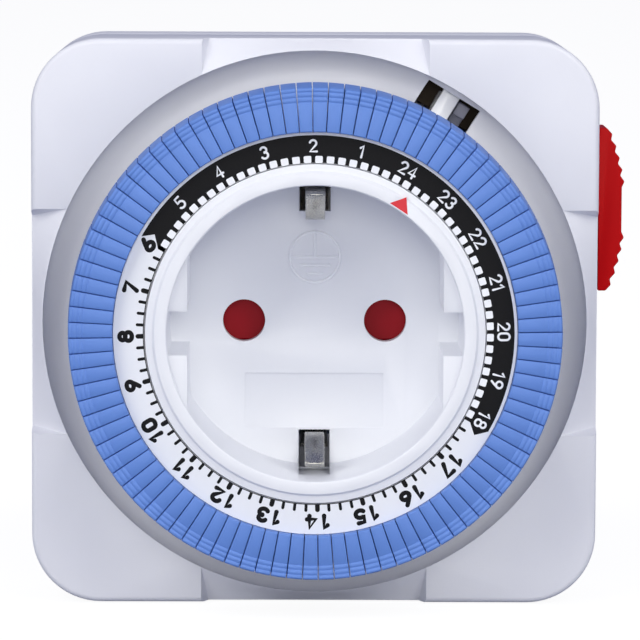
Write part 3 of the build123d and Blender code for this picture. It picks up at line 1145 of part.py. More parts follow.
# ---------------------------------------------------------------- earth strap
clip_tip = FLOOR_FORWARD + EARTH_TIP_HEIGHT
clip_bow = FLOOR_FORWARD + EARTH_BOW_HEIGHT
strip_outer = EARTH_RADIUS + EARTH_STRIP
leg_length = EARTH_SHOULDER - EARTH_LEG_START
with BuildPart() as earth_strap:
    for leg_angle in (-90, 90):
        with BuildSketch(radial_plane(leg_angle, EARTH_LEG_WIDTH / 2)):
            with Locations((EARTH_RADIUS + EARTH_STRIP / 2, EARTH_LEG_START + leg_length / 2)):
                Rectangle(EARTH_STRIP, leg_length)
        extrude(amount=EARTH_LEG_WIDTH)
        with BuildSketch(radial_plane(leg_angle, EARTH_WIDTH / 2)):
            with BuildLine():
                Polyline(
                    (EARTH_RADIUS, EARTH_SHOULDER - EARTH_OVERLAP),
                    (EARTH_RADIUS, FLOOR_FORWARD + RECESS_FLOOR - EARTH_STRIP),
                    (EARTH_REACH, clip_bow),
                    (EARTH_REACH + 0.7 * EARTH_STRIP, clip_bow + 2 * EARTH_STRIP),
                    (EARTH_RADIUS + 0.7 * EARTH_STRIP, clip_tip),
                    (EARTH_RADIUS + 1.7 * EARTH_STRIP, clip_tip - EARTH_STRIP / 2),
                    (EARTH_REACH + 1.9 * EARTH_STRIP, clip_bow + 1.7 * EARTH_STRIP),
                    (EARTH_REACH + 1.4 * EARTH_STRIP, clip_bow + 0.2 * EARTH_STRIP),
                    (strip_outer, FLOOR_FORWARD + RECESS_FLOOR),
                    (strip_outer, EARTH_SHOULDER - EARTH_OVERLAP),
                    close=True,
                )
            make_face()
        extrude(amount=EARTH_WIDTH)
    with BuildSketch(front_plane(INNER_REAR)):
        Rectangle(EARTH_LEG_WIDTH, 2 * (EARTH_RADIUS + EARTH_CLEARANCE))
    extrude(amount=EARTH_STRIP)
save(earth_strap.part, "earth_strap")

# ---------------------------------------------------------------- override slider
wall_inner = HALF_SIZE - WALL
grip_face = HALF_SIZE + SLIDER_GAP
grip_end = HALF_SIZE + SLIDER_END_PROUD - SLIDER_END_BEVEL
stem_start = wall_inner - CUT
with BuildPart() as override_slider:
    # grip: an arched back with serrations at both ends and a flat middle
    with BuildSketch(Plane.XZ.offset(SLIDER_FORWARD - SLIDER_WIDTH / 2)):
        half_length = SLIDER_LENGTH / 2
        tooth_pitch = (half_length - SLIDER_FLAT / 2) / SLIDER_TEETH
        upper = []
        for index in range(SLIDER_TEETH):
            tip = half_length - tooth_pitch * (index + 0.5)
            valley = tip - tooth_pitch / 2
            for along, dip in ((tip, 0.0), (valley, SLIDER_TOOTH_DEPTH)):
                rise = SLIDER_PROUD - (SLIDER_PROUD - SLIDER_END_PROUD) * (along / half_length) ** 2
                upper.append((HALF_SIZE + rise - dip, along))
        lower = [(x, -z) for x, z in reversed(upper)]
        outline = [(grip_face, half_length), (grip_end, half_length), *upper]
        outline += [*lower, (grip_end, -half_length), (grip_face, -half_length)]
        with BuildLine():
            Polyline(*[(x, z + SLIDER_CENTRE) for x, z in outline], close=True)
        make_face()
    extrude(amount=SLIDER_WIDTH)
    with BuildSketch(Plane.YZ.offset(stem_start)):
        with Locations((-SLIDER_FORWARD, SLIDER_CENTRE)):
            Rectangle(SLIDER_STEM_WIDTH, SLIDER_STEM_LENGTH)
    extrude(amount=grip_face + SLIDER_STEM_SINK - stem_start)
    with BuildSketch(Plane.YZ.offset(wall_inner - SLIDER_PLATE_GAP)):
        with Locations((-SLIDER_FORWARD, SLIDER_CENTRE)):
            Rectangle(SLIDER_PLATE_WIDTH, SLIDER_PLATE_LENGTH)
    extrude(amount=-SLIDER_PLATE_THICKNESS)
    # finger that holds the leaf of the switch
    finger_end = fixed_place[0] + FINGER_PAST_BUTTON
    finger_middle = SLIDER_CENTRE + SLIDER_PLATE_LENGTH / 2 - FINGER_INSET - FINGER_LENGTH / 2
    with BuildSketch(front_plane(LEAF_TOP + 2 * LEVER_TO_LEAF)):
        with Locations(((finger_end + stem_start) / 2, finger_middle)):
            Rectangle(stem_start - finger_end, FINGER_LENGTH)
    extrude(amount=FINGER_THICKNESS)
save(override_slider.part, "override_slider")

# ---------------------------------------------------------------- motor
claw_bottom = INNER_REAR + MOTOR_WALL
with BuildPart() as stator_can:
    with BuildSketch(front_plane(INNER_REAR)):
        with Locations(MOTOR_CENTRE):
            Circle(MOTOR_RADIUS)
    extrude(amount=MOTOR_HEIGHT)
    with BuildSketch(front_plane(claw_bottom)):
        with Locations(MOTOR_CENTRE):
            Circle(MOTOR_RADIUS - MOTOR_WALL)
    extrude(amount=MOTOR_HEIGHT - 2 * MOTOR_WALL, mode=Mode.SUBTRACT)
    with BuildSketch(front_plane(claw_bottom)):
        with Locations(MOTOR_CENTRE):
            with PolarLocations(CLAW_RADIUS + CLAW_THICKNESS / 2, CLAW_COUNT):
                Rectangle(CLAW_THICKNESS, CLAW_WIDTH)
    extrude(amount=MOTOR_HEIGHT - 2 * MOTOR_WALL - CLAW_GAP)
    with BuildSketch(front_plane(MOTOR_TOP)):
        with Locations(MOTOR_CENTRE):
            Circle(CLAW_RADIUS)
    extrude(amount=-MOTOR_WALL, mode=Mode.SUBTRACT)
save(stator_can.part, "stator_can")

bobbin_bottom = claw_bottom + BOBBIN_GAP
bobbin_top = MOTOR_TOP - MOTOR_WALL - BOBBIN_GAP
with BuildPart() as coil_bobbin:
    with BuildSketch(front_plane(bobbin_bottom)):
        with Locations(MOTOR_CENTRE):
            Circle(COIL_OUTER_RADIUS + BOBBIN_GAP)
            Circle(COIL_INNER_RADIUS - BOBBIN_WALL, mode=Mode.SUBTRACT)
    extrude(amount=bobbin_top - bobbin_bottom)
    with BuildSketch(front_plane(bobbin_bottom + BOBBIN_WALL)):
        with Locations(MOTOR_CENTRE):
            Circle(COIL_OUTER_RADIUS + CUT)
            Circle(COIL_INNER_RADIUS, mode=Mode.SUBTRACT)
    extrude(amount=bobbin_top - bobbin_bottom - 2 * BOBBIN_WALL, mode=Mode.SUBTRACT)
save(coil_bobbin.part, "coil_bobbin")

with BuildPart() as coil_winding:
    with BuildSketch(front_plane(bobbin_bottom + BOBBIN_WALL)):
        with Locations(MOTOR_CENTRE):
            Circle(COIL_OUTER_RADIUS)
            Circle(COIL_INNER_RADIUS, mode=Mode.SUBTRACT)
    extrude(amount=bobbin_top - bobbin_bottom - 2 * BOBBIN_WALL)
save(coil_winding.part, "coil_winding")


# ---------------------------------------------------------------- gear train
def level(index):
    """Rear face of the wheel on a level of the train."""
    return MOTOR_TOP + TRAIN_MOTOR_GAP + TRAIN_LEVEL_PITCH * index


def gear_disc(centre, teeth, module, turn, bore, forward, thickness, slim):
    """Toothed disc with a bore, in the current part."""
    with BuildSketch(front_plane(forward)) as profile:
        with BuildLine():
            points = gear_points(teeth, module, turn, slim)
            Polyline(*[(centre[0] + x, centre[1] + z) for x, z in points], close=True)
        make_face()
        with Locations(centre):
            Circle(bore, mode=Mode.SUBTRACT)
    extrude(profile.sketch, amount=thickness)


with BuildPart() as rotor:
    with BuildSketch(front_plane(claw_bottom + ROTOR_GAP)):
        with Locations(MOTOR_CENTRE):
            Circle(CLAW_RADIUS - ROTOR_GAP)
            Circle(ARBOR_RADIUS + ARBOR_CLEARANCE, mode=Mode.SUBTRACT)
    rotor_top = MOTOR_TOP - ROTOR_GAP
    extrude(amount=rotor_top - claw_bottom - ROTOR_GAP)
    bore = ARBOR_RADIUS + ARBOR_CLEARANCE
    gear_disc(
        MOTOR_CENTRE, TRAIN_PINION_TEETH, TRAIN_MODULE, 0, bore,
        rotor_top, level(0) + TRAIN_WHEEL_THICKNESS - rotor_top, TRAIN_PINION_SLIM,
    )
save(rotor.part, "rotor")

pinion_turn = 0.0
for index, (label, teeth, bearing_back) in enumerate(TRAIN):
    centre = WHEEL_CENTRES[index]
    bearing = bearing_back - 180
    turn = meshing_turn(pinion_turn, TRAIN_PINION_TEETH, teeth, bearing)
    is_last = index == len(TRAIN) - 1
    bore = (DRIVE_SPINDLE_RADIUS if is_last else ARBOR_RADIUS) + ARBOR_CLEARANCE
    with BuildPart() as wheel:
        gear_disc(
            centre, teeth, TRAIN_MODULE, turn, bore,
            level(index), TRAIN_WHEEL_THICKNESS, TRAIN_WHEEL_SLIM,
        )
        if not is_last:
            gear_disc(
                centre, TRAIN_PINION_TEETH, TRAIN_MODULE, turn, bore,
                level(index), TRAIN_LEVEL_PITCH + TRAIN_WHEEL_THICKNESS, TRAIN_PINION_SLIM,
            )
    save(wheel.part, label)
    pinion_turn = turn

drive_turn = meshing_turn(DIAL_PHASE, DIAL_TEETH, DRIVE_TEETH, DRIVE_BEARING)
with BuildPart() as drive_pinion:
    drive_bottom = DIAL_BOTTOM - ARBOR_CLEARANCE
    with BuildSketch(front_plane(drive_bottom)):
        with BuildLine():
            points = gear_points(DRIVE_TEETH, DIAL_MODULE, drive_turn, DRIVE_SLIM)
            Polyline(*[(DRIVE_CENTRE[0] + x, DRIVE_CENTRE[1] + z) for x, z in points], close=True)
        make_face()
    extrude(amount=DIAL_GEAR_WIDTH)
    spindle_bottom = level(len(TRAIN) - 1) - ARBOR_CLEARANCE
    with BuildSketch(front_plane(spindle_bottom)):
        with Locations(DRIVE_CENTRE):
            Circle(DRIVE_SPINDLE_RADIUS)
    extrude(amount=drive_bottom - spindle_bottom)
    with BuildSketch(front_plane(PLATE_TOP + ARBOR_CLEARANCE)):
        with Locations(DRIVE_CENTRE):
            Circle(DRIVE_SHOULDER_RADIUS)
    extrude(amount=drive_bottom - PLATE_TOP - ARBOR_CLEARANCE)
save(drive_pinion.part, "drive_pinion")

with BuildPart() as movement_plate:
    with BuildSketch(front_plane(PLATE_FORWARD)):
        chain = [PLATE_PILLARS[0], MOTOR_CENTRE, *WHEEL_CENTRES[:4], PLATE_PILLARS[1]]
        bars_between(chain, PLATE_ARM_WIDTH)
        bars_between([WHEEL_CENTRES[3], DRIVE_CENTRE, PLATE_PILLARS[2]], PLATE_ARM_WIDTH)
        with Locations(*PLATE_PILLARS):
            Circle(SCREW_RADIUS + 2 * SCREW_HOLE_CLEARANCE, mode=Mode.SUBTRACT)
        with Locations(MOTOR_CENTRE, *WHEEL_CENTRES[:4]):
            Circle(ARBOR_RADIUS, mode=Mode.SUBTRACT)
        with Locations(DRIVE_CENTRE):
            Circle(DRIVE_SPINDLE_RADIUS + PIVOT_CLEARANCE, mode=Mode.SUBTRACT)
    extrude(amount=PLATE_THICKNESS)
save(movement_plate.part, "movement_plate")

# Arbors that reach the rear wall where no wheel is in the way, and stubs elsewhere.
ARBOR_STARTS = (claw_bottom, MOTOR_TOP + BOBBIN_GAP, INNER_REAR, INNER_REAR, level(3) - ARBOR_CLEARANCE)
with BuildPart() as gear_arbors:
    for centre, start in zip([MOTOR_CENTRE, *WHEEL_CENTRES[:4]], ARBOR_STARTS):
        with BuildSketch(front_plane(start)):
            with Locations(centre):
                Circle(ARBOR_RADIUS)
        extrude(amount=PLATE_TOP - start)
save(gear_arbors.part, "gear_arbors")


# ---------------------------------------------------------------- screws
def screws(places, under_head, length, towards_front):
    """Slotted screws whose heads bear at `under_head`, in the current part."""
    sign = 1 if towards_front else -1
    with BuildSketch(front_plane(under_head)) as heads:
        with Locations(*places):
            Circle(SCREW_HEAD_RADIUS)
    extrude(heads.sketch, amount=sign * SCREW_HEAD_HEIGHT)
    with BuildSketch(front_plane(under_head)) as shanks:
        with Locations(*places):
            Circle(SCREW_RADIUS)
    extrude(shanks.sketch, amount=-sign * length)
    with BuildSketch(front_plane(under_head + sign * (SCREW_HEAD_HEIGHT - SLOT_DEPTH))) as slots:
        with Locations(*places):
            Rectangle(2 * SCREW_HEAD_RADIUS + CUT, SLOT_WIDTH)
    extrude(slots.sketch, amount=sign * (SLOT_DEPTH + CUT), mode=Mode.SUBTRACT)


with BuildPart() as seat_screws:
    screws(EAR_PLACES, SEAT_TOP, INNER_SCREW_LENGTH, True)
with BuildPart() as plate_screws:
    screws(PLATE_PILLARS, PLATE_TOP, INNER_SCREW_LENGTH, True)
with BuildPart() as inner_screws:
    add(seat_screws.part)
    add(plate_screws.part)
save(inner_screws.part, "inner_screws")

with BuildPart() as housing_screws:
    screws(CORNERS, REAR_FORWARD + SCREW_COUNTERBORE, HOUSING_SCREW_LENGTH, False)
save(housing_screws.part, "housing_screws")
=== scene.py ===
"""Looks of a plug-in 24-hour timer switch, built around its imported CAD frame.

The frame is in metres: +Y points along the plug pins into the wall, +Z up and +X to the right of
someone who looks at the dial. Sizes below are in millimetres unless a name ends in _m. "Forward"
is the distance in front of the plug face, so it is -Y.
"""

import logging
import math
from dataclasses import dataclass
from enum import Enum

import bmesh
import bpy
from mathutils import Matrix, Vector


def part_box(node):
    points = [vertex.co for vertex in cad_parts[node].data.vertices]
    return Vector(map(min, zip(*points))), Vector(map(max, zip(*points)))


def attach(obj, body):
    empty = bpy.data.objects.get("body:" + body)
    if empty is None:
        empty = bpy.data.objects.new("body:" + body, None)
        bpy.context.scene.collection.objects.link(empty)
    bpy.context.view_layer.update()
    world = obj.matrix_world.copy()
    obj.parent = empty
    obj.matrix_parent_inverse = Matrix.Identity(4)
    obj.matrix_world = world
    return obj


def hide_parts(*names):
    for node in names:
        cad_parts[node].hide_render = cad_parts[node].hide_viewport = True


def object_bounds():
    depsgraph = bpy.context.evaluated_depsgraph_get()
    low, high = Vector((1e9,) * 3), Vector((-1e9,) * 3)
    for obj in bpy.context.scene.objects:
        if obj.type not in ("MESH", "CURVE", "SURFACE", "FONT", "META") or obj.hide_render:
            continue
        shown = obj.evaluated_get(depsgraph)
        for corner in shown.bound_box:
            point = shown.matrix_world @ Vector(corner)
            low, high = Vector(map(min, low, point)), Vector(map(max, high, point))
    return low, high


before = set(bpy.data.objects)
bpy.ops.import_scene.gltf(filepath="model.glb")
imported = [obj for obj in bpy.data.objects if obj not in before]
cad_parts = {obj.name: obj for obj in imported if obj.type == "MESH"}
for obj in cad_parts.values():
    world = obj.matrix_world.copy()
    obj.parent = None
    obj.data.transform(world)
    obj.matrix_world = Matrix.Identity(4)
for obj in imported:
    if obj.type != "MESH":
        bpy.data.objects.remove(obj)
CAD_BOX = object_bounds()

MM = 0.001
LOG = logging.getLogger("timer_switch")

# Midnight's angle on the dial; the hours follow anticlockwise, seen from the front.
DIAL_PHASE = 60.9
HOURS = 24
PARTS_PER_HOUR = 4
HOUR_PITCH = 360 / HOURS
PART_PITCH = HOUR_PITCH / PARTS_PER_HOUR

# Corners nearer than this are one, in the dial's mm and in the CAD frame's metres.
MERGE_MM = 1e-4
MERGE_M = 1e-6
# Ends of a line nearer than this, in mm, close it.
CLOSED_MM = 1e-6
# In degrees: facets that meet flatter than the first are joined, edges sharper than the second are
# rounded, and shading runs smoothly over edges below the third.
FLAT_DEGREES = 0.6
ROUNDED_ABOVE = 28.0
SMOOTH_BELOW = 40.0

# From the dial's axes (x right, y up, z forward) in mm to the CAD frame's in metres.
DIAL_TO_CAD = Matrix(((MM, 0, 0, 0), (0, 0, -MM, 0), (0, MM, 0, 0), (0, 0, 0, 1)))


# ---------------------------------------------------------------- small helpers
def linear(colour: str) -> tuple[float, float, float, float]:
    """Turn an sRGB hex colour to linear.

    Args:
        colour: six hex digits, such as "e5e5ed".

    Returns:
        Linear red, green, blue and an alpha of 1.
    """
    channels = [int(colour[i:i + 2], 16) / 255 for i in (0, 2, 4)]
    rgb = [c / 12.92 if c <= 0.04045 else ((c + 0.055) / 1.055) ** 2.4 for c in channels]
    return (rgb[0], rgb[1], rgb[2], 1.0)


def add_node(
    tree: bpy.types.NodeTree, kind: str, inputs: dict | None = None, **settings: object
) -> bpy.types.Node:
    """Add a node with its settings, input values and links.

    Args:
        tree: the tree that takes the node.
        kind: the node's type, such as "ShaderNodeBump".
        inputs: socket name or number to a value, or to the output socket that feeds it.
        settings: attributes of the node.

    Returns:
        The new node.
    """
    node = tree.nodes.new(kind)
    for name, value in settings.items():
        setattr(node, name, value)
    for key, value in (inputs or {}).items():
        socket = node.inputs[key]
        if isinstance(value, bpy.types.NodeSocket):
            tree.links.new(value, socket)
        else:
            socket.default_value = value
    return node


def polar(radius: float, degrees: float) -> tuple[float, float]:
    """Point at a radius and an angle.

    Args:
        radius: distance from the axis.
        degrees: angle anticlockwise from +X, seen from the front.

    Returns:
        The point's x and y.
    """
    return (radius * math.cos(math.radians(degrees)), radius * math.sin(math.radians(degrees)))


def arc_points(
    centre: tuple[float, float], radius: float, start: float, end: float, steps: int
) -> list[tuple[float, float]]:
    """Points along an arc.

    Args:
        centre: the arc's centre.
        radius: its radius.
        start: first angle in degrees.
        end: last angle in degrees.
        steps: stretches that the arc is divided into.

    Returns:
        steps + 1 points from the first angle to the last.
    """
    angles = [start + (end - start) * i / steps for i in range(steps + 1)]
    return [(centre[0] + polar(radius, a)[0], centre[1] + polar(radius, a)[1]) for a in angles]


def add_object(name: str, mesh: bpy.types.Mesh) -> bpy.types.Object:
    """Put a mesh into the scene as an object at the origin.

    Args:
        name: the object's name.
        mesh: its mesh.

    Returns:
        The object.
    """
    obj = bpy.data.objects.new(name, mesh)
    bpy.context.scene.collection.objects.link(obj)
    return obj


def mesh_of(name: str, work: bmesh.types.BMesh, to_cad: Matrix = DIAL_TO_CAD) -> bpy.types.Mesh:
    """Turn a finished bmesh in the dial frame into a mesh in the CAD frame.

    Args:
        name: the mesh's name.
        work: the bmesh, which is freed.
        to_cad: matrix from the bmesh's frame to the CAD frame.

    Returns:
        The mesh, with doubles merged and faces pointing outwards.
    """
    bmesh.ops.remove_doubles(work, verts=work.verts, dist=MERGE_MM)
    bmesh.ops.transform(work, matrix=to_cad, verts=work.verts)
    bmesh.ops.recalc_face_normals(work, faces=work.faces)
    mesh = bpy.data.meshes.new(name)
    work.to_mesh(mesh)
    work.free()
    return mesh


def shade_smooth(mesh: bpy.types.Mesh, sharp_above: float) -> None:
    """Smooth a mesh's shading except over sharp edges.

    Args:
        mesh: the mesh.
        sharp_above: edges sharper than this many degrees stay crisp.
    """
    for polygon in mesh.polygons:
        polygon.use_smooth = True
    mesh.set_sharp_from_angle(angle=math.radians(sharp_above))


def baked(obj: bpy.types.Object) -> bpy.types.Object:
    """Apply an object's modifiers to a plain mesh and take them off.

    Args:
        obj: the object, which keeps its name.

    Returns:
        The same object, with no modifier left.
    """
    depsgraph = bpy.context.evaluated_depsgraph_get()
    result = bpy.data.meshes.new_from_object(
        obj.evaluated_get(depsgraph), preserve_all_data_layers=True, depsgraph=depsgraph
    )
    obj.modifiers.clear()
    if obj.type == "MESH":
        obj.data = result
        return obj
    name = obj.name
    bpy.data.objects.remove(obj)
    return add_object(name, result)


def rounded_copy(node: str, name: str, width_mm: float) -> bpy.types.Object:
    """Copy a CAD node and round its sharp edges as the mould or die leaves them.

    Args:
        node: the CAD node.
        name: the copy's name.
        width_mm: width of the rounding, 0 for none.

    Returns:
        The copy, shaded smooth.
    """
    work = bmesh.new()
    work.from_mesh(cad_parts[node].data)
    bmesh.ops.remove_doubles(work, verts=work.verts, dist=MERGE_M)
    bmesh.ops.dissolve_limit(
        work,
        angle_limit=math.radians(FLAT_DEGREES),
        verts=work.verts,
        edges=work.edges,
        delimit={"NORMAL"},
    )
    mesh = bpy.data.meshes.new(name)
    work.to_mesh(mesh)
    work.free()
    obj = add_object(name, mesh)
    if width_mm:
        bevel = obj.modifiers.new("edge rounding", "BEVEL")
        bevel.width = width_mm * MM
        bevel.segments = 2
        bevel.limit_method = "ANGLE"
        bevel.angle_limit = math.radians(ROUNDED_ABOVE)
        bevel.harden_normals = False
        obj = baked(obj)
    shade_smooth(obj.data, SMOOTH_BELOW)
    return obj


def finish_piece(
    obj: bpy.types.Object, finish: "Finish", body: str, replaced: tuple[str, ...] = ()
) -> bpy.types.Object:
    """Give a piece its material and tie it to the frame.

    Args:
        obj: the piece, in place.
        finish: its surface finish.
        body: the CAD body that it moves with.
        replaced: CAD nodes that it replaces.

    Returns:
        The piece.
    """
    obj.data.materials.clear()
    obj.data.materials.append(finish.material())
    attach(obj, body)
    if replaced:
        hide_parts(*replaced)
    LOG.info("%s: %d faces on %s", obj.name, len(obj.data.polygons), body)
    return obj


def dress(node: str, finish: "Finish") -> None:
    """Give a CAD node that stays visible a better material in its slots.

    Args:
        node: the CAD node.
        finish: its surface finish.
    """
    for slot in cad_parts[node].material_slots:
        slot.material = finish.material()
    LOG.info("%s: dressed as %s", node, finish.name)


# ---------------------------------------------------------------- finishes
# Noise seldom leaves this span of its output, which runs from 0 to 1.
NOISE_LOW = 0.3
NOISE_HIGH = 0.7


class Finish:
    """A surface finish that builds its material once."""

    name: str

    def build(self, material: bpy.types.Material) -> None:
        """Fill the material's node tree.

        Args:
            material: the material, whose tree is empty.
        """
        raise NotImplementedError

    def material(self) -> bpy.types.Material:
        """Build the material on first use and find it again afterwards.

        Returns:
            The finish's material.
        """
        found = bpy.data.materials.get(self.name)
        if found is None:
            found = bpy.data.materials.new(self.name)
            found.use_nodes = True
            found.node_tree.nodes.clear()
            self.build(found)
        return found


@dataclass(frozen=True)
class MouldedPlastic(Finish):
    """Injection-moulded thermoplastic with the texture that its mould left.

    A spark-eroded mould leaves a fine, even grain that spreads highlights; a polished one leaves
    a gloss with slow waves where the wall shrank. The pits of the grain are spaced and sunk by a
    share of its width and depth.
    """

    name: str
    colour: str
    tint: str
    roughness: float
    ior: float = 1.54
    grain_mm: float = 0.35
    grain_depth_mm: float = 0.006
    wave_mm: float = 9.0
    wave_depth_mm: float = 0.004
    pit_spacing: float = 1.6
    pit_depth: float = 0.25
    gloss_spread: float = 0.05

    def build(self, material: bpy.types.Material) -> None:
        """Fill the material's node tree.

        Args:
            material: the material, whose tree is empty.
        """
        tree = material.node_tree
        place = add_node(tree, "ShaderNodeTexCoord").outputs["Object"]
        slow = add_node(
            tree,
            "ShaderNodeTexNoise",
            {"Vector": place, "Scale": 1 / (self.wave_mm * MM), "Detail": 2.0, "Roughness": 0.5},
        )
        fine = add_node(
            tree,
            "ShaderNodeTexNoise",
            {"Vector": place, "Scale": 1 / (self.grain_mm * MM), "Detail": 3.0, "Roughness": 0.6},
        )
        speck = add_node(
            tree,
            "ShaderNodeTexVoronoi",
            {"Vector": place, "Scale": 1 / (self.pit_spacing * self.grain_mm * MM)},
        )
        tint = add_node(
            tree,
            "ShaderNodeMixRGB",
            {0: slow.outputs["Fac"], 1: linear(self.colour), 2: linear(self.tint)},
        )
        gloss = add_node(
            tree,
            "ShaderNodeMapRange",
            {
                "Value": fine.outputs["Fac"],
                "From Min": NOISE_LOW,
                "From Max": NOISE_HIGH,
                "To Min": self.roughness - self.gloss_spread,
                "To Max": self.roughness + self.gloss_spread,
            },
        )
        waves = add_node(
            tree,
            "ShaderNodeBump",
            {"Height": slow.outputs["Fac"], "Distance": self.wave_depth_mm * MM, "Strength": 1.0},
        )
        pits = add_node(
            tree,
            "ShaderNodeBump",
            {
                "Height": speck.outputs["Distance"],
                "Distance": self.pit_depth * self.grain_depth_mm * MM,
                "Strength": 1.0,
                "Normal": waves.outputs["Normal"],
            },
        )
        grain = add_node(
            tree,
            "ShaderNodeBump",
            {
                "Height": fine.outputs["Fac"],
                "Distance": self.grain_depth_mm * MM,
                "Strength": 1.0,
                "Normal": pits.outputs["Normal"],
            },
        )
        shader = add_node(
            tree,
            "ShaderNodeBsdfPrincipled",
            {
                "Base Color": tint.outputs[0],
                "Roughness": gloss.outputs[0],
                "IOR": self.ior,
                "Normal": grain.outputs["Normal"],
            },
        )
        add_node(tree, "ShaderNodeOutputMaterial", {"Surface": shader.outputs[0]})


@dataclass(frozen=True)
class RolledMetal(Finish):
    """Rolled, drawn or plated metal with fine marks along one direction."""

    name: str
    colour: str
    stain: str
    roughness: float
    mark_mm: float = 0.15
    stretch: tuple[float, float, float] = (1.0, 0.08, 1.0)
    mark_depth_mm: float = 0.002
    stain_mm: float = 2.5
    gloss_spread: tuple[float, float] = (0.07, 0.1)

    def build(self, material: bpy.types.Material) -> None:
        """Fill the material's node tree.

        Args:
            material: the material, whose tree is empty.
        """
        tree = material.node_tree
        place = add_node(tree, "ShaderNodeTexCoord").outputs["Object"]
        along = add_node(tree, "ShaderNodeMapping", {"Vector": place, "Scale": self.stretch})
        marks = add_node(
            tree,
            "ShaderNodeTexNoise",
            {"Vector": along.outputs[0], "Scale": 1 / (self.mark_mm * MM), "Detail": 4.0},
        )
        stains = add_node(
            tree,
            "ShaderNodeTexNoise",
            {"Vector": place, "Scale": 1 / (self.stain_mm * MM), "Detail": 3.0},
        )
        colour = add_node(
            tree,
            "ShaderNodeMixRGB",
            {0: stains.outputs["Fac"], 1: linear(self.colour), 2: linear(self.stain)},
        )
        gloss = add_node(
            tree,
            "ShaderNodeMapRange",
            {
                "Value": marks.outputs["Fac"],
                "From Min": NOISE_LOW,
                "From Max": NOISE_HIGH,
                "To Min": self.roughness - self.gloss_spread[0],
                "To Max": self.roughness + self.gloss_spread[1],
            },
        )
        bump = add_node(
            tree,
            "ShaderNodeBump",
            {"Height": marks.outputs["Fac"], "Distance": self.mark_depth_mm * MM, "Strength": 1.0},
        )
        shader = add_node(
            tree,
            "ShaderNodeBsdfPrincipled",
            {
                "Base Color": colour.outputs[0],
                "Metallic": 1.0,
                "Roughness": gloss.outputs[0],
                "Normal": bump.outputs["Normal"],
            },
        )
        add_node(tree, "ShaderNodeOutputMaterial", {"Surface": shader.outputs[0]})


@dataclass(frozen=True)
class WoundWire(Finish):
    """Enamelled copper wire wound in close turns: fine bright ridges, painted shade between them.

    The bands of a wave texture repeat every 0.31 of wave_mm, so the ridges lie 0.19 mm apart. The
    real wire is finer; they are drawn as coarse as they need to show.
    """

    name: str
    colour: str
    # Colour of the grooves between turns: painted shade.
    groove: str
    wave_mm: float = 0.6
    waver: float = 0.4
    ridge_mm: float = 0.1
    roughness: float = 0.32

    def build(self, material: bpy.types.Material) -> None:
        """Fill the material's node tree.

        Args:
            material: the material, whose tree is empty.
        """
        tree = material.node_tree
        place = add_node(tree, "ShaderNodeTexCoord").outputs["Object"]
        turns = add_node(
            tree,
            "ShaderNodeTexWave",
            {"Vector": place, "Scale": 1 / (self.wave_mm * MM), "Distortion": self.waver},
            bands_direction="Y",
        )
        # Painted shade: the grooves between the turns take the darker groove colour.
        colour = add_node(
            tree,
            "ShaderNodeMixRGB",
            {0: turns.outputs["Fac"], 1: linear(self.groove), 2: linear(self.colour)},
        )
        bump = add_node(
            tree,
            "ShaderNodeBump",
            {"Height": turns.outputs["Fac"], "Distance": self.ridge_mm * MM, "Strength": 1.0},
        )
        shader = add_node(
            tree,
            "ShaderNodeBsdfPrincipled",
            {
                "Base Color": colour.outputs[0],
                "Metallic": 1.0,
                "Roughness": self.roughness,
                "Normal": bump.outputs["Normal"],
            },
        )
        add_node(tree, "ShaderNodeOutputMaterial", {"Surface": shader.outputs[0]})


@dataclass(frozen=True)
class PrintInk(Finish):
    """Hot-stamped ink: even colour with faint pinholes and a soft sheen.

    Where the pinholes' noise passes worn_from the worn colour shows through, up to worn_share.
    """

    name: str
    colour: str
    worn: str
    roughness: float = 0.5
    ior: float = 1.25
    pinhole_mm: float = 0.2
    pinhole_depth_mm: float = 0.003
    worn_from: float = 0.5
    worn_fully: float = 0.8
    worn_share: float = 0.5

    def build(self, material: bpy.types.Material) -> None:
        """Fill the material's node tree.

        Args:
            material: the material, whose tree is empty.
        """
        tree = material.node_tree
        place = add_node(tree, "ShaderNodeTexCoord").outputs["Object"]
        grain = add_node(
            tree,
            "ShaderNodeTexNoise",
            {"Vector": place, "Scale": 1 / (self.pinhole_mm * MM), "Detail": 4.0},
        )
        wear = add_node(
            tree,
            "ShaderNodeMapRange",
            {
                "Value": grain.outputs["Fac"],
                "From Min": self.worn_from,
                "From Max": self.worn_fully,
                "To Max": self.worn_share,
            },
        )
        colour = add_node(
            tree,
            "ShaderNodeMixRGB",
            {0: wear.outputs[0], 1: linear(self.colour), 2: linear(self.worn)},
        )
        bump = add_node(
            tree,
            "ShaderNodeBump",
            {
                "Height": grain.outputs["Fac"],
                "Distance": self.pinhole_depth_mm * MM,
                "Strength": 1.0,
            },
        )
        shader = add_node(
            tree,
            "ShaderNodeBsdfPrincipled",
            {
                "Base Color": colour.outputs[0],
                "Roughness": self.roughness,
                "IOR": self.ior,
                "Normal": bump.outputs["Normal"],
            },
        )
        add_node(tree, "ShaderNodeOutputMaterial", {"Surface": shader.outputs[0]})


# ABS from a spark-eroded mould: nearly white with a cool cast, its fine grain keeps highlights
# broad.
SHELL = MouldedPlastic("white_abs_eroded", "e7e8f0", "e2e3ec", 0.46, 1.54, 0.3, 0.006)
# Polycarbonate from a satin mould: smoother and a little brighter than the shells.
CUP = MouldedPlastic("white_polycarbonate_satin", "e9ebf2", "e6e8f0", 0.38, 1.5, 0.5, 0.0008)
# Polycarbonate, raised on the recess floor: its colour is lighter as a painted highlight.
SIGN_PAINTED_HIGHLIGHT = MouldedPlastic("white_polycarbonate_eroded_painted_highlight", "f2f4fa", "eef0f7", 0.5, 1.5, 0.3, 0.003)
# ABS from a satin mould: white with a soft sheen on the wheel and the scale ring.
DIAL = MouldedPlastic("white_abs_satin", "e6e8f0", "e1e4ec", 0.36, 1.54, 0.4, 0.003)
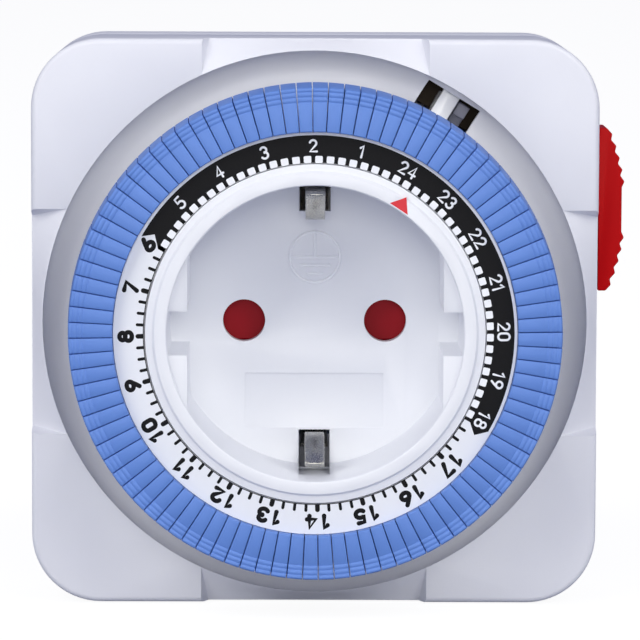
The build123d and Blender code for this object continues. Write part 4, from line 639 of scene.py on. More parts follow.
# Blue ABS from a satin mould: full colour with hardly any reflection.
SEGMENT = MouldedPlastic("blue_abs_satin", "638ad6", "5f85d0", 0.52, 1.42, 0.25, 0.002, 4.0, 0.003)
# Red ABS, moulded dull for grip: deep colour without highlights.
SLIDER = MouldedPlastic("red_abs_satin", "c20006", "b40005", 0.5, 1.22, 0.3, 0.003)
# Red lacquer: brighter and glossier than the moulded reds.
POINTER = MouldedPlastic("red_pointer_lacquer", "dc0a26", "cc0620", 0.35, 1.5, 0.3, 0.002)
# Red polyamide: dark and dull behind the pin holes, its red darkened as painted shade.
SHUTTER_RED_AND_PAINTED_SHADE = MouldedPlastic("red_polyamide_and_painted_shade", "9c061a", "8c0516", 0.5, 1.25, 0.3, 0.002)
# White acetal from a polished mould: slippery gloss with sharp highlights.
LEVER = MouldedPlastic("white_acetal_gloss", "f0f1f6", "e8eaf0", 0.16, 1.48, 0.5, 0.001)
# Grey polyamide from an eroded mould: dull, slightly blue.
BASE = MouldedPlastic("grey_polyamide", "a0a2b4", "9698aa", 0.5, 1.53, 0.3, 0.006)
# White thermoset filled with mineral: chalky and flat.
CARRIER = MouldedPlastic("white_thermoset", "dcdcdc", "d2d2d2", 0.5, 1.55, 0.3, 0.006)
# Natural polyamide: milky cream colour with a faint sheen.
NYLON = MouldedPlastic("natural_polyamide", "d8d2c0", "cfc8b4", 0.42, 1.53, 0.3, 0.004)
# Natural acetal: waxy off-white wheels.
ACETAL = MouldedPlastic("natural_acetal", "ece8dc", "e2dece", 0.32, 1.48, 0.3, 0.002)
# Grey acetal: the same waxy sheen on the clutch wheel.
ACETAL_GREY = MouldedPlastic("grey_acetal", "b4bac6", "a8aebc", 0.34, 1.48, 0.3, 0.002)
# Dark acetal: nearly black, with a waxy sheen.
ACETAL_DARK = MouldedPlastic("dark_acetal", "484a50", "3c3e44", 0.34, 1.48, 0.3, 0.002)
# Sintered ferrite: charcoal colour with a rough mineral grain.
FERRITE = MouldedPlastic("sintered_ferrite", "3c3c40", "2e2e32", 0.6, 1.6, 0.2, 0.01)
# Nickel-plated bronze strip: warm silver, streaked along the rolling direction.
NICKEL = RolledMetal("nickel_plated_bronze", "c9c8c4", "a5a39c", 0.24)
# Nickel-plated turned brass: bright, with fine marks that run round the pin.
PIN_NICKEL = RolledMetal("nickel_plated_brass", "d2d1cc", "bdbbb4", 0.2, 0.12, (1.0, 1.0, 0.1))
# Rolled brass: yellow, streaked along the strip and a little tarnished.
BRASS = RolledMetal("rolled_brass", "c9a85e", "b08c44", 0.3)
# Spring bronze, nearly black as painted shade for the dark window, with a dull metal sheen.
BRONZE_PAINTED_SHADE = RolledMetal("spring_bronze_painted_shade", "342e2a", "28231f", 0.45)
# Ground steel: cool grey with fine bright marks.
STEEL = RolledMetal("ground_steel", "b8bac0", "9c9ea6", 0.26)
# Zinc-plated steel: bluish grey with a soft mottle and no direction.
ZINC = RolledMetal("zinc_plated_steel", "b4bac4", "989faa", 0.38, 0.4, (1.0, 1.0, 1.0))
# Enamelled copper wire: reddish turns that catch the light one by one, with painted shade between.
COPPER = WoundWire("enamelled_copper_wire", "c8743c", "6a3014")
# Hot-stamped black: solid and even, the plastic's sheen hardly shows through.
INK_BLACK = PrintInk("black_print_ink", "0b0b0f", "141419")
# Hot-stamped white: clean and slightly cool on the black band.
INK_WHITE = PrintInk("white_print_ink", "f0f2f8", "e4e6ee")


# ---------------------------------------------------------------- copies round the dial
def ring_tree() -> bpy.types.NodeTree:
    """Build the Geometry Nodes tree that repeats a mesh round the dial's axis.

    Returns:
        The tree, with the inputs Geometry, Count, First angle, Pitch and Material.
    """
    name = "copies_round_dial"
    tree = bpy.data.node_groups.get(name)
    if tree is not None:
        return tree
    tree = bpy.data.node_groups.new(name, "GeometryNodeTree")
    face = tree.interface
    face.new_socket("Geometry", in_out="INPUT", socket_type="NodeSocketGeometry")
    face.new_socket("Count", in_out="INPUT", socket_type="NodeSocketInt")
    face.new_socket("First angle", in_out="INPUT", socket_type="NodeSocketFloat")
    face.new_socket("Pitch", in_out="INPUT", socket_type="NodeSocketFloat")
    face.new_socket("Material", in_out="INPUT", socket_type="NodeSocketMaterial")
    face.new_socket("Geometry", in_out="OUTPUT", socket_type="NodeSocketGeometry")
    given = add_node(tree, "NodeGroupInput").outputs
    row = add_node(tree, "GeometryNodeMeshLine", {"Count": given["Count"], "Offset": (0, 0, 0)})
    index = add_node(tree, "GeometryNodeInputIndex")
    turn = add_node(
        tree,
        "ShaderNodeMath",
        {0: index.outputs[0], 1: given["Pitch"], 2: given["First angle"]},
        operation="MULTIPLY_ADD",
    )
    spin = add_node(tree, "ShaderNodeCombineXYZ", {"Z": turn.outputs[0]})
    placed = add_node(
        tree,
        "GeometryNodeInstanceOnPoints",
        {"Points": row.outputs[0], "Instance": given["Geometry"], "Rotation": spin.outputs[0]},
    )
    real = add_node(tree, "GeometryNodeRealizeInstances", {"Geometry": placed.outputs[0]})
    skin = add_node(
        tree,
        "GeometryNodeSetMaterial",
        {"Geometry": real.outputs[0], "Material": given["Material"]},
    )
    add_node(tree, "NodeGroupOutput", {"Geometry": skin.outputs[0]})
    return tree


def run_tree(obj: bpy.types.Object, tree: bpy.types.NodeTree, values: dict[str, object]) -> None:
    """Run a Geometry Nodes tree on an object and keep the result as its plain mesh.

    Args:
        obj: the object that carries the start geometry.
        tree: the tree.
        values: input name to value.
    """
    modifier = obj.modifiers.new(tree.name, "NODES")
    modifier.node_group = tree
    for item in tree.interface.items_tree:
        if item.item_type == "SOCKET" and item.in_out == "INPUT" and item.name in values:
            modifier[item.identifier] = values[item.name]
    baked(obj)


# ---------------------------------------------------------------- dial with scale and print
class Zone(Enum):
    """Which half of the day a mark on the scale belongs to."""

    NIGHT = "night"
    DAY = "day"


@dataclass(frozen=True)
class Stroke:
    """One line of a numeral, on a grid one unit high."""

    points: list[tuple[float, float]]


# Width of a digit of height 1, the room that the narrow 1 takes, and how a round end of a line is
# built up: reach past the line's end and radius, both as a share of half the line's width.
DIGIT_WIDTH = 0.56
ONE_WIDTH = 0.42
ROUND_END = ((1.0, 0.02), (0.85, 0.53), (0.5, 0.87))


def numeral_strokes(digit: str) -> list[Stroke]:
    """Strokes of a plain rounded numeral one unit high.

    Args:
        digit: one of "0" to "9".

    Returns:
        The strokes, from 0 to DIGIT_WIDTH wide or a little more.
    """
    top = (0.27, 0.74)
    low = (0.28, 0.28)
    six = [
        Stroke(arc_points(low, 0.28, 0, 360, 20)),
        Stroke([(0.45, 1.0), (0.24, 0.72), (0.07, 0.45), (0.0, 0.28)]),
    ]
    shapes = {
        "0": [Stroke(arc_points(low, 0.28, 180, 360, 10)
                     + arc_points((0.28, 0.72), 0.28, 0, 180, 10) + [(0.0, 0.28)])],
        "1": [Stroke([(0.02, 0.78), (0.24, 1.0), (0.24, 0.0)])],
        "2": [Stroke(arc_points((0.28, 0.72), 0.27, 165, -35, 10) + [(0.02, 0.0), (0.58, 0.0)])],
        "3": [Stroke(arc_points(top, 0.25, 150, -80, 10)),
              Stroke(arc_points((0.27, 0.27), 0.28, 80, -150, 12))],
        "4": [Stroke([(0.42, 0.0), (0.42, 1.0), (0.0, 0.28), (0.58, 0.28)])],
        "5": [Stroke([(0.52, 1.0), (0.12, 1.0), (0.06, 0.56)]
                     + arc_points((0.27, 0.3), 0.3, 115, -145, 12))],
        "6": six,
        "7": [Stroke([(0.0, 1.0), (0.56, 1.0), (0.17, 0.0)])],
        "8": [Stroke(arc_points((0.28, 0.75), 0.24, 0, 360, 18)),
              Stroke(arc_points((0.28, 0.27), 0.28, 0, 360, 20))],
        "9": [Stroke([(DIGIT_WIDTH - x, 1.0 - y) for x, y in stroke.points]) for stroke in six],
    }
    return shapes[digit]


@dataclass(frozen=True)
class Numeral:
    """Look of the numerals of one zone.

    Height, line and radius are in mm; stretch widens the digits and spacing parts them, both as a
    share of the height.
    """

    height: float
    line: float
    stretch: float
    spacing: float
    radius: float


@dataclass(frozen=True)
class BandEdge:
    """One circle of the night band: its radius and how far its ends pass the hours, in degrees."""

    radius: float
    before: float
    after: float


@dataclass
class Dial:
    """Dial wheel, its scale ring and everything printed on it.

    The rim of the ring is spread outwards by ring_spread over ring_rim to meet the segments. Plain
    lines of ink lie at line_share of the full ink height, and shifts turns the numerals beside the
    band's arrows clear of them, in degrees.
    """

    body: str = "dial"
    ring_inner: float = 22.45
    ring_outer: float = 26.4
    ring_rim: float = 0.3
    ring_spread: float = 0.09
    mark_inner: float = 22.55
    day_mark_outer: float = 23.55
    day_mark_half: tuple[float, float] = (0.2, 0.31)
    block_inner: float = 22.46
    block_outer: float = 23.38
    block_width: float = 0.99
    block_round: float = 0.17
    ink_height: float = 0.012
    line_share: float = 0.9
    edge_line_width: tuple[float, float] = (0.02, 0.14)
    band_steps: int = 160
    circle_steps: int = 240
    night_starts: int = 18
    night_ends: int = 6
    edges: tuple[BandEdge, ...] = (
        BandEdge(22.55, -0.5, 0.6),
        BandEdge(23.4, -0.5, 0.75),
        BandEdge(24.75, -3.3, -2.7),
        BandEdge(26.1, -0.3, -0.2),
    )
    shifts: tuple[tuple[int, float], ...] = ((6, 1.1), (18, 1.9))
    night_look: Numeral = Numeral(1.5, 0.31, 1.05, 0.3, 24.7)
    day_look: Numeral = Numeral(1.62, 0.6, 1.25, 0.44, 24.85)

    def __post_init__(self) -> None:
        """Read the top of the scale ring from the frame."""
        lowest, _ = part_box("scale_ring")
        self.top = -lowest.y / MM

    def zone(self, hour: int) -> Zone:
        """Zone that an hour of the day lies in."""
        is_night = hour >= self.night_starts or hour < self.night_ends
        return Zone.NIGHT if is_night else Zone.DAY

    def angle(self, hour: float) -> float:
        """Angle of an hour of the day, in degrees."""
        return DIAL_PHASE + HOUR_PITCH * hour

    def band(self) -> bpy.types.Object:
        """Build the black night band with an arrow at each end that points clockwise.

        Returns:
            The band, which lies on the ring.
        """
        start = self.angle(self.night_starts) - 360
        end = self.angle(self.night_ends)
        steps = self.band_steps
        work = bmesh.new()
        rows = []
        for edge in self.edges:
            points = arc_points((0, 0), edge.radius, start + edge.before, end + edge.after, steps)
            rows.append([work.verts.new((x, y, self.top + self.ink_height)) for x, y in points])
        for low, high in zip(rows, rows[1:]):
            for i in range(steps):
                work.faces.new((low[i], high[i], high[i + 1], low[i + 1]))
        self.sink(work)
        return add_object("scale_night_band", mesh_of("scale_night_band", work))

    def sink(self, work: bmesh.types.BMesh) -> None:
        """Close a flat print downwards, with its underside inside the ring.

        Args:
            work: the print's flat faces.
        """
        result = bmesh.ops.extrude_face_region(work, geom=work.faces[:])
        sunk = [v for v in result["geom"] if isinstance(v, bmesh.types.BMVert)]
        lowest = self.top - self.ink_height
        for vert in sunk:
            vert.co.z = lowest

    def repeated(
        self, name: str, outlines: list[list[tuple[float, float]]], level: float,
        first: float, count: int, pitch: float, ink: Finish,
    ) -> bpy.types.Object:
        """Print flat outlines again and again round the scale.

        Args:
            name: name of the new object.
            outlines: closed outlines near +X, in mm.
            level: height of the ink above the ring, in mm.
            first: angle of the first copy, in degrees.
            count: number of copies.
            pitch: degrees from one copy to the next.
            ink: finish of the print.

        Returns:
            One object with all the copies.
        """
        work = bmesh.new()
        for outline in outlines:
            work.faces.new([work.verts.new((x, y, self.top + level)) for x, y in outline])
        self.sink(work)
        obj = add_object(name, mesh_of(name, work, Matrix.Identity(4)))
        sizes = {
            "Count": count,
            "First angle": math.radians(first),
            "Pitch": math.radians(pitch),
            "Material": ink.material(),
        }
        run_tree(obj, ring_tree(), sizes)
        obj.data.transform(DIAL_TO_CAD)
        return obj

    def day_marks(self) -> bpy.types.Object:
        """Build the round-ended marks of the day: a broad one each hour and three thin ones.

        Returns:
            One object with all the marks.
        """
        outlines = []
        thin, broad = self.day_mark_half
        for mark in range(PARTS_PER_HOUR):
            half = thin if mark else broad
            end = self.day_mark_outer - half
            turn = Matrix.Rotation(math.radians(mark * PART_PITCH), 2)
            flat = [(self.mark_inner, -half), *arc_points((end, 0), half, -90, 90, 8),
                    (self.mark_inner, half)]
            outlines.append([tuple(turn @ Vector(point)) for point in flat])
        first = self.angle(self.night_ends)
        hours = self.night_starts - self.night_ends
        return self.repeated(
            "scale_day_marks", outlines, self.ink_height, first, hours, HOUR_PITCH, INK_BLACK
        )

    def night_blocks(self) -> bpy.types.Object:
        """Build the white round-cornered blocks between the marks of the night.

        Returns:
            One object with all the blocks.
        """
        half = self.block_width / 2 - self.block_round
        outline = []
        for x, y, start in (
            (self.block_outer - self.block_round, half, 0),
            (self.block_inner + self.block_round, half, 90),
            (self.block_inner + self.block_round, -half, 180),
            (self.block_outer - self.block_round, -half, 270),
        ):
            outline += arc_points((x, y), self.block_round, start, start + 90, 4)
        first = self.angle(self.night_starts) - 360 + PART_PITCH / 2
        hours = HOURS - self.night_starts + self.night_ends
        return self.repeated(
            "scale_night_blocks", [outline], 2 * self.ink_height, first,
            hours * PARTS_PER_HOUR, PART_PITCH, INK_WHITE,
        )

    def edge_line(self) -> bpy.types.Object:
        """Build the thin black line round the inner edge of the scale.

        Returns:
            The line.
        """
        work = bmesh.new()
        near, far = self.edge_line_width
        self.add_ring(work, self.ring_inner + near, self.ring_inner + far)
        return add_object("scale_edge_line", mesh_of("scale_edge_line", work))

    def add_ring(self, work: bmesh.types.BMesh, inner: float, outer: float) -> None:
        """Add a thin closed ring of ink.

        Args:
            work: the bmesh that takes the ring.
            inner: its inner radius.
            outer: its outer radius.
        """
        steps = self.circle_steps
        height = self.line_share * self.ink_height
        loops = []
        for radius, level in ((inner, height), (outer, height), (outer, -height), (inner, -height)):
            points = arc_points((0, 0), radius, 0, 360, steps)[:-1]
            loops.append([work.verts.new((x, y, self.top + level)) for x, y in points])
        for a, b in zip(loops, loops[1:] + loops[:1]):
            for i in range(steps):
                j = (i + 1) % steps
                work.faces.new((a[i], b[i], b[j], a[j]))

    def numerals(self, zone: Zone, look: Numeral) -> bpy.types.Object:
        """Build the hour numerals of one zone as flattened round-ended lines.

        Args:
            zone: the zone whose hours are drawn.
            look: height, line width, spacing and place of the numerals.

        Returns:
            One object with all the zone's numerals.
        """
        curve = line_curve("numerals", look.line)
        shifts = dict(self.shifts)
        for hour in range(1, HOURS + 1):
            if self.zone(hour) == zone:
                degrees = self.angle(hour) + shifts.get(hour, 0.0)
                self.add_number(curve, str(hour), degrees, look)
        level = self.top + self.line_share * self.ink_height
        name = f"scale_numerals_{zone.value}"
        return flat_lines(name, curve, look.line, self.ink_height, level)

    def add_number(
        self, curve: bpy.types.Curve, text: str, degrees: float, look: Numeral
    ) -> None:
        """Add a number to the curve, with its top pointing outwards.

        Args:
            curve: the curve that takes the strokes.
            text: the number's digits.
            degrees: the hour's angle.
            look: height, line width, spacing and place.
        """
        widths = [ONE_WIDTH if digit == "1" else DIGIT_WIDTH for digit in text]
        total = look.stretch * sum(widths) + look.spacing * (len(text) - 1)
        turn = Matrix.Rotation(math.radians(degrees - 90), 4, "Z")
        start = -total / 2
        for digit, width in zip(text, widths):
            for stroke in numeral_strokes(digit):
                line = []
                for x, y in stroke.points:
                    across = (start + look.stretch * x) * look.height
                    outwards = (y - 0.5) * look.height + look.radius
                    line.append(turn @ Vector((across, outwards, 0)))
                add_rounded_line(curve, line, look.line / 2)
            start += look.stretch * width + look.spacing

    def build(self) -> None:
        """Build and dress the dial."""
        wheel = rounded_copy("dial_wheel", "dial_wheel_moulding", 0.0)
        finish_piece(wheel, DIAL, self.body, ("dial_wheel",))
        ring = rounded_copy("scale_ring", "scale_ring_disc", 0.0)
        for vert in ring.data.vertices:
            radius = math.hypot(vert.co.x, vert.co.z)
            if radius > (self.ring_outer - self.ring_rim) * MM:
                spread = 1 + self.ring_spread * MM / radius
                vert.co.x *= spread
                vert.co.z *= spread
        finish_piece(ring, DIAL, self.body, ("scale_ring",))
        finish_piece(self.band(), INK_BLACK, self.body)
        finish_piece(self.day_marks(), INK_BLACK, self.body)
        finish_piece(self.night_blocks(), INK_WHITE, self.body)
        finish_piece(self.edge_line(), INK_BLACK, self.body)
        night = self.numerals(Zone.NIGHT, self.night_look)
        finish_piece(night, INK_WHITE, self.body)
        day = self.numerals(Zone.DAY, self.day_look)
        finish_piece(day, INK_BLACK, self.body)


def line_curve(name: str, width: float) -> bpy.types.Curve:
    """Start a curve whose lines become round bars.

    Args:
        name: the curve's name.
        width: width of its lines, in mm.

    Returns:
        The curve, without a line.
    """
    curve = bpy.data.curves.new(name, "CURVE")
    curve.dimensions = "3D"
    curve.bevel_depth = width / 2
    curve.bevel_resolution = 2
    curve.use_fill_caps = True
    return curve


def flat_lines(
    name: str, curve: bpy.types.Curve, width: float, height: float, level: float
) -> bpy.types.Object:
    """Turn a curve's lines into a mesh and flatten them.

    Args:
        name: the new object's name.
        curve: the curve.
        width: width of its lines, in mm.
        height: how far they rise over their middle, in mm.
        level: how far forward their middle lies, in mm.

    Returns:
        One object with all the lines, in the CAD frame.
    """
    holder = bpy.data.objects.new(name, curve)
    bpy.context.scene.collection.objects.link(holder)
    obj = baked(holder)
    flatten = Matrix.Diagonal((1, 1, height / (width / 2), 1))
    obj.data.transform(DIAL_TO_CAD @ Matrix.Translation((0, 0, level)) @ flatten)
    return obj


def add_rounded_line(curve: bpy.types.Curve, points: list[Vector], half_width: float) -> None:
    """Add a poly line to a curve, with round ends made by shrinking the bevel.

    Args:
        curve: the curve that takes the line.
        points: its corners.
        half_width: half of the line's width.
    """
    closed = (points[0] - points[-1]).length < CLOSED_MM
    if closed:
        points = points[:-1]
        radii = [1.0] * len(points)
    else:
        ahead = (points[0] - points[1]).normalized() * half_width
        behind = (points[-1] - points[-2]).normalized() * half_width
        full = [1.0] * len(points)
        points = (
            [points[0] + ahead * reach for reach, _ in ROUND_END]
            + points
            + [points[-1] + behind * reach for reach, _ in reversed(ROUND_END)]
        )
        taper = [size for _, size in ROUND_END]
        radii = taper + full + taper[::-1]
    spline = curve.splines.new("POLY")
    spline.points.add(len(points) - 1)
    for target, point, radius in zip(spline.points, points, radii):
        target.co = (*point, 1)
        target.radius = radius
    spline.use_cyclic_u = closed


# ---------------------------------------------------------------- push segments
@dataclass
class PushSegments:
    """The blue push segments round the dial, four to each hour.

    gap is the angle between two segments. Each groove is groove_half wide to each side of its
    radius, with steep sides down to groove_side of its depth at groove_floor. The sides' edges
    fall away by edge, and by edge_drop of it at edge_way of their width.
    """

    gap: float = 0.25
    inner: float = 26.55
    top_outer: float = 32.1
    foot_outer: float = 32.7
    top: float = 59.5
    foot: float = 51.5
    grooves: tuple[float, ...] = (30.45, 31.1, 31.75)
    groove_depth: float = 0.1
    groove_half: float = 0.2
    groove_floor: float = 0.07
    groove_side: float = 0.8
    edge: float = 0.06
    edge_way: float = 0.4
    edge_drop: float = 0.35
    edge_reach: float = 0.6
    inner_round: float = 0.2
    outer_round: float = 0.3
    outer_overlap: float = 0.05
    foot_chamfer: tuple[float, float] = (0.5, 0.6)

    def profile(self) -> list[tuple[float, float]]:
        """Draw the cross-section of a segment.

        Returns:
            Radius and forward distance of its corners, from the inner foot over the top.
        """
        low = self.top - self.inner_round
        side = self.top - self.groove_depth * self.groove_side
        points = [(self.inner, self.foot), (self.inner, low)]
        points += arc_points((self.inner + self.inner_round, low), self.inner_round, 170, 90, 5)
        for groove in self.grooves:
            points += [
                (groove - self.groove_half, self.top),
                (groove - self.groove_floor, side),
                (groove, self.top - self.groove_depth),
                (groove + self.groove_floor, side),
                (groove + self.groove_half, self.top),
            ]
        shoulder = (self.top_outer - self.outer_overlap, self.top - self.outer_round)
        points += arc_points(shoulder, self.outer_round, 85, 15, 4)
        across, up = self.foot_chamfer
        points += [(self.foot_outer, self.foot + up), (self.foot_outer - across, self.foot)]
        return points

    def segment_mesh(self) -> bpy.types.Mesh:
        """Build one segment, centred on +X in the dial frame.

        Returns:
            Its mesh.
        """
        half = (PART_PITCH - self.gap) / 2
        edge = math.degrees(self.edge / self.top_outer)
        way = self.edge_way * edge
        drop = self.edge_drop * self.edge
        stations = (
            (-half, self.edge), (-half + way, drop), (-half + edge, 0.0), (0.0, 0.0),
            (half - edge, 0.0), (half - way, drop), (half, self.edge),
        )
        profile = self.profile()
        work = bmesh.new()
        rings = []
        for degrees, inset in stations:
            ring = []
            for radius, forward in profile:
                lowered = forward - inset if forward > self.top - self.edge_reach else forward
                x, y = polar(min(radius, self.foot_outer - inset / 2), degrees)
                ring.append(work.verts.new((x, y, lowered)))
            rings.append(ring)
        count = len(profile)
        for a, b in zip(rings, rings[1:]):
            for i in range(count):
                j = (i + 1) % count
                work.faces.new((a[i], a[j], b[j], b[i]))
        work.faces.new(rings[0])
        work.faces.new(rings[-1][::-1])
        return mesh_of("push_segment", work, Matrix.Identity(4))

    def build(self) -> None:
        """Build and dress the segments of every hour."""
        tree = ring_tree()
        segment = self.segment_mesh()
        for hour in range(1, HOURS + 1):
            name = f"segments_hour_{hour:02d}"
            obj = add_object(f"push_segments_{hour:02d}", segment.copy())
            first = DIAL_PHASE + HOUR_PITCH * hour + PART_PITCH / 2
            sizes = {
                "Count": PARTS_PER_HOUR,
                "First angle": math.radians(first),
                "Pitch": math.radians(PART_PITCH),
                "Material": SEGMENT.material(),
            }
            run_tree(obj, tree, sizes)
            obj.data.transform(DIAL_TO_CAD)
            shade_smooth(obj.data, SMOOTH_BELOW)
            finish_piece(obj, SEGMENT, name, (name,))


# ---------------------------------------------------------------- housing, socket, switch
@dataclass
class Housing:
    """The two shells and what screws them together; each edge is a rounding's width."""

    body: str = "housing"
    front_edge: float = 0.18
    rear_edge: float = 0.12

    def build(self) -> None:
        """Build and dress the shells."""
        front = rounded_copy("front_housing", "front_shell", self.front_edge)
        finish_piece(front, SHELL, self.body, ("front_housing",))
        rear = rounded_copy("rear_housing", "rear_shell", self.rear_edge)
        finish_piece(rear, SHELL, self.body, ("rear_housing",))
        dress("housing_screws", ZINC)
        dress("inner_screws", ZINC)


@dataclass
class Socket:
    """The socket recess with its pointer, shutter and earth clips.

    mark_bars gives each bar of the earth sign its drop below the sign's centre and half its
    length.
    """

    body: str = "housing"
    edge: float = 0.12
    floor: float = 41.1
    mark_centre: tuple[float, float] = (0.0, 8.6)
    mark_radius: float = 3.4
    mark_line: float = 0.4
    mark_height: float = 0.24
    mark_bars: tuple[tuple[float, float], ...] = ((0.0, 3.0), (1.1, 1.95), (2.2, 0.95))
    mark_smooth_below: float = 60.0

    def earth_mark(self) -> bpy.types.Object:
        """Build the raised earth sign on the recess floor.

        Returns:
            The sign.
        """
        curve = line_curve("earth_mark", self.mark_line)
        x, y = self.mark_centre
        lines = [arc_points(self.mark_centre, self.mark_radius, 0, 360, 48)]
        lines.append([(x, y + self.mark_radius), (x, y)])
        for drop, half in self.mark_bars:
            lines.append([(x - half, y - drop), (x + half, y - drop)])
        for line in lines:
            add_rounded_line(curve, [Vector((a, b, 0)) for a, b in line], self.mark_line / 2)
        obj = flat_lines("earth_sign", curve, self.mark_line, self.mark_height, self.floor)
        shade_smooth(obj.data, self.mark_smooth_below)
        return obj

    def build(self) -> None:
        """Build and dress the socket."""
        cup = rounded_copy("socket_cup", "socket_cup_moulding", self.edge)
        finish_piece(cup, CUP, self.body, ("socket_cup",))
        # The earth sign's lighter colour is a painted highlight on its raised lines.
        finish_piece(self.earth_mark(), SIGN_PAINTED_HIGHLIGHT, self.body)
        dress("dial_seat", CUP)
        dress("pointer_triangle", POINTER)
        # The shutter's own red is darkened as painted shade from the depth of the pin holes.
        dress("safety_shutter", SHUTTER_RED_AND_PAINTED_SHADE)
        dress("shutter_spring", STEEL)
        clips = rounded_copy("earth_strap", "earth_strip", self.edge)
        finish_piece(clips, NICKEL, self.body, ("earth_strap",))
        dress("contact_carrier", CARRIER)
        for node in ("line_contact", "neutral_contact", "fixed_contact"):
            dress(node, BRASS)
        for node in ("line_pin", "neutral_pin"):
            dress(node, PIN_NICKEL)


@dataclass
class TripSwitch:
    """Trip lever, switch base and moving contact."""

    edge: float = 0.15

    def build(self) -> None:
        """Build and dress the switch."""
        lever = rounded_copy("trip_lever", "trip_lever_moulding", self.edge)
        finish_piece(lever, LEVER, "trip_lever", ("trip_lever",))
        base = rounded_copy("switch_base", "switch_base_moulding", self.edge)
        finish_piece(base, BASE, "housing", ("switch_base",))
        dress("lever_pin", STEEL)
        # The moving contact's near-black colour is painted shade for the dark inside seen through
        # the window.
        dress("moving_contact", BRONZE_PAINTED_SHADE)


@dataclass
class OverrideSlider:
    """Red slider on the side of the body."""

    body: str = "override_slider"
    edge: float = 0.15

    def build(self) -> None:
        """Build and dress the slider."""
        grip = rounded_copy("override_slider", "override_slider_moulding", self.edge)
        finish_piece(grip, SLIDER, self.body, ("override_slider",))


@dataclass
class Movement:
    """Motor, gear train and plate, sealed in the body."""

    def build(self) -> None:
        """Dress the movement."""
        finishes = {
            "stator_can": ZINC, "coil_bobbin": NYLON, "coil_winding": COPPER, "rotor": FERRITE,
            "first_wheel": ACETAL, "second_wheel": ACETAL, "third_wheel": ACETAL,
            "fourth_wheel": ACETAL, "clutch_wheel": ACETAL_GREY, "drive_pinion": ACETAL_DARK,
            "gear_arbors": STEEL, "movement_plate": NYLON,
        }
        for node, finish in finishes.items():
            dress(node, finish)


# ---------------------------------------------------------------- studio
@dataclass(frozen=True)
class Lamp:
    """A square soft lamp: its place and the side of its face in metres, and its power in watts."""

    name: str
    place: tuple[float, float, float]
    size: float
    watts: float
    colour: str


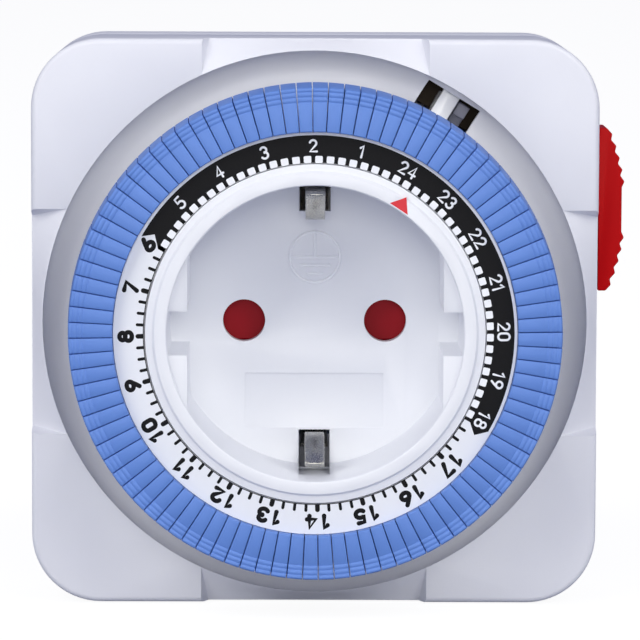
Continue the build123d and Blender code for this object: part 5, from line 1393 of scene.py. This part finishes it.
@dataclass
class Studio:
    """Floor, light and camera.

    A Standard view shows the emission of the floor and the backdrop as white, while the object
    gets its light from the lamps and from a bluish room that is brighter above.
    """

    lens_mm: float = 245.0
    sensor_mm: float = 36.0
    distance_mm: float = 584.2
    azimuth: float = -0.45
    elevation: float = 6.05
    roll: float = 0.23
    aim: tuple[float, float, float] = (0.71, -44.0, 0.38)
    clip_start_m: float = 0.01
    lamps: tuple[Lamp, ...] = (
        Lamp("upper_left", (-1.3, -1.5, 1.5), 1.3, 24.0, "fffdf2"),
        Lamp("upper_right", (1.3, -1.5, 1.5), 1.3, 21.0, "fffdf0"),
        Lamp("right", (1.8, -1.6, 0.4), 1.3, 7.0, "fffef6"),
        Lamp("left", (-1.8, -1.6, 0.4), 1.3, 8.0, "fffef6"),
        Lamp("front", (0.05, -2.9, 0.4), 1.2, 26.5, "fffdf2"),
    )
    lamp_aim_m: tuple[float, float, float] = (0.0, -0.04, 0.0)
    room_below: str = "5e6898"
    room_above: str = "b8c0f0"
    room_span: tuple[float, float] = (-0.5, 0.6)
    room_strength: float = 0.38
    floor_half: float = 3000.0
    floor_drop_m: float = 0.0002
    floor_paint: str = "f4f4f6"
    floor_shade: str = "8c92a8"
    floor_roughness: float = 0.9
    floor_glow: float = 1.1
    floor_glow_share: float = 0.84

    def camera(self) -> None:
        """Place the camera."""
        data = bpy.data.cameras.new("camera")
        data.lens = self.lens_mm
        data.sensor_width = self.sensor_mm
        data.clip_start = self.clip_start_m
        camera = bpy.data.objects.new("camera", data)
        bpy.context.scene.collection.objects.link(camera)
        turn = math.radians(self.azimuth)
        tilt = math.radians(self.elevation)
        level = math.cos(tilt)
        away = Vector((math.sin(turn) * level, -math.cos(turn) * level, math.sin(tilt)))
        target = Vector(self.aim) * MM
        camera.location = target + away * self.distance_mm * MM
        look = (-away).to_track_quat("-Z", "Y").to_matrix().to_4x4()
        spin = Matrix.Rotation(math.radians(self.roll), 4, "Z")
        camera.matrix_world = Matrix.Translation(camera.location) @ look @ spin
        bpy.context.scene.camera = camera

    def add_lamp(self, lamp: Lamp) -> None:
        """Add a lamp, aimed at the object.

        Args:
            lamp: its place, size, power and colour.
        """
        data = bpy.data.lights.new(lamp.name, "AREA")
        data.shape = "SQUARE"
        data.size = lamp.size
        data.energy = lamp.watts
        data.color = linear(lamp.colour)[:3]
        obj = bpy.data.objects.new(lamp.name, data)
        bpy.context.scene.collection.objects.link(obj)
        obj.location = lamp.place
        ray = Vector(self.lamp_aim_m) - Vector(lamp.place)
        obj.rotation_euler = ray.to_track_quat("-Z", "Y").to_euler()

    def world(self) -> None:
        """Light the room from above more than below, and show it white."""
        world = bpy.data.worlds.new("studio")
        bpy.context.scene.world = world
        world.use_nodes = True
        tree = world.node_tree
        tree.nodes.clear()
        up = add_node(tree, "ShaderNodeTexCoord").outputs["Generated"]
        height = add_node(tree, "ShaderNodeSeparateXYZ", {"Vector": up}).outputs["Z"]
        low, high = self.room_span
        level = add_node(
            tree, "ShaderNodeMapRange", {"Value": height, "From Min": low, "From Max": high}
        )
        tone = add_node(
            tree,
            "ShaderNodeMixRGB",
            {0: level.outputs[0], 1: linear(self.room_below), 2: linear(self.room_above)},
        )
        room = add_node(
            tree,
            "ShaderNodeBackground",
            {"Color": tone.outputs[0], "Strength": self.room_strength},
        )
        white = add_node(tree, "ShaderNodeBackground", {"Color": (1, 1, 1, 1), "Strength": 1.0})
        path = add_node(tree, "ShaderNodeLightPath")
        seen = path.outputs["Is Camera Ray"]
        mix = add_node(
            tree, "ShaderNodeMixShader", {0: seen, 1: room.outputs[0], 2: white.outputs[0]}
        )
        add_node(tree, "ShaderNodeOutputWorld", {"Surface": mix.outputs[0]})

    def floor(self) -> None:
        """Lay the pale floor, which glows for the eye and throws a dull light on the object."""
        work = bmesh.new()
        bmesh.ops.create_grid(work, x_segments=1, y_segments=1, size=self.floor_half)
        height = CAD_BOX[0][2] - self.floor_drop_m
        place = Matrix.Translation((0, 0, height)) @ Matrix.Scale(MM, 4)
        obj = add_object("studio_floor", mesh_of("studio_floor", work, place))
        material = bpy.data.materials.new("pale_floor_paint")
        material.use_nodes = True
        tree = material.node_tree
        tree.nodes.clear()
        paint, dull = (
            add_node(
                tree,
                "ShaderNodeBsdfPrincipled",
                {"Base Color": linear(colour), "Roughness": self.floor_roughness},
            )
            for colour in (self.floor_paint, self.floor_shade)
        )
        white = add_node(
            tree, "ShaderNodeEmission", {"Color": (1, 1, 1, 1), "Strength": self.floor_glow}
        )
        lit = add_node(
            tree,
            "ShaderNodeMixShader",
            {0: self.floor_glow_share, 1: paint.outputs[0], 2: white.outputs[0]},
        )
        seen = add_node(tree, "ShaderNodeLightPath").outputs["Is Camera Ray"]
        mix = add_node(
            tree, "ShaderNodeMixShader", {0: seen, 1: dull.outputs[0], 2: lit.outputs[0]}
        )
        add_node(tree, "ShaderNodeOutputMaterial", {"Surface": mix.outputs[0]})
        obj.data.materials.append(material)

    def build(self) -> None:
        """Build the studio."""
        bpy.context.scene.view_settings.view_transform = "Standard"
        self.world()
        self.floor()
        for lamp in self.lamps:
            self.add_lamp(lamp)
        self.camera()


def main() -> None:
    """Build the studio and every sub-assembly in order."""
    logging.basicConfig(level=logging.INFO, format="%(name)s: %(message)s")
    for assembly in (Studio(), Housing(), Dial(), PushSegments(), Socket(), TripSwitch(),
                     OverrideSlider(), Movement()):
        assembly.build()
        LOG.info("%s done", type(assembly).__name__)


if __name__ == "__main__":
    main()
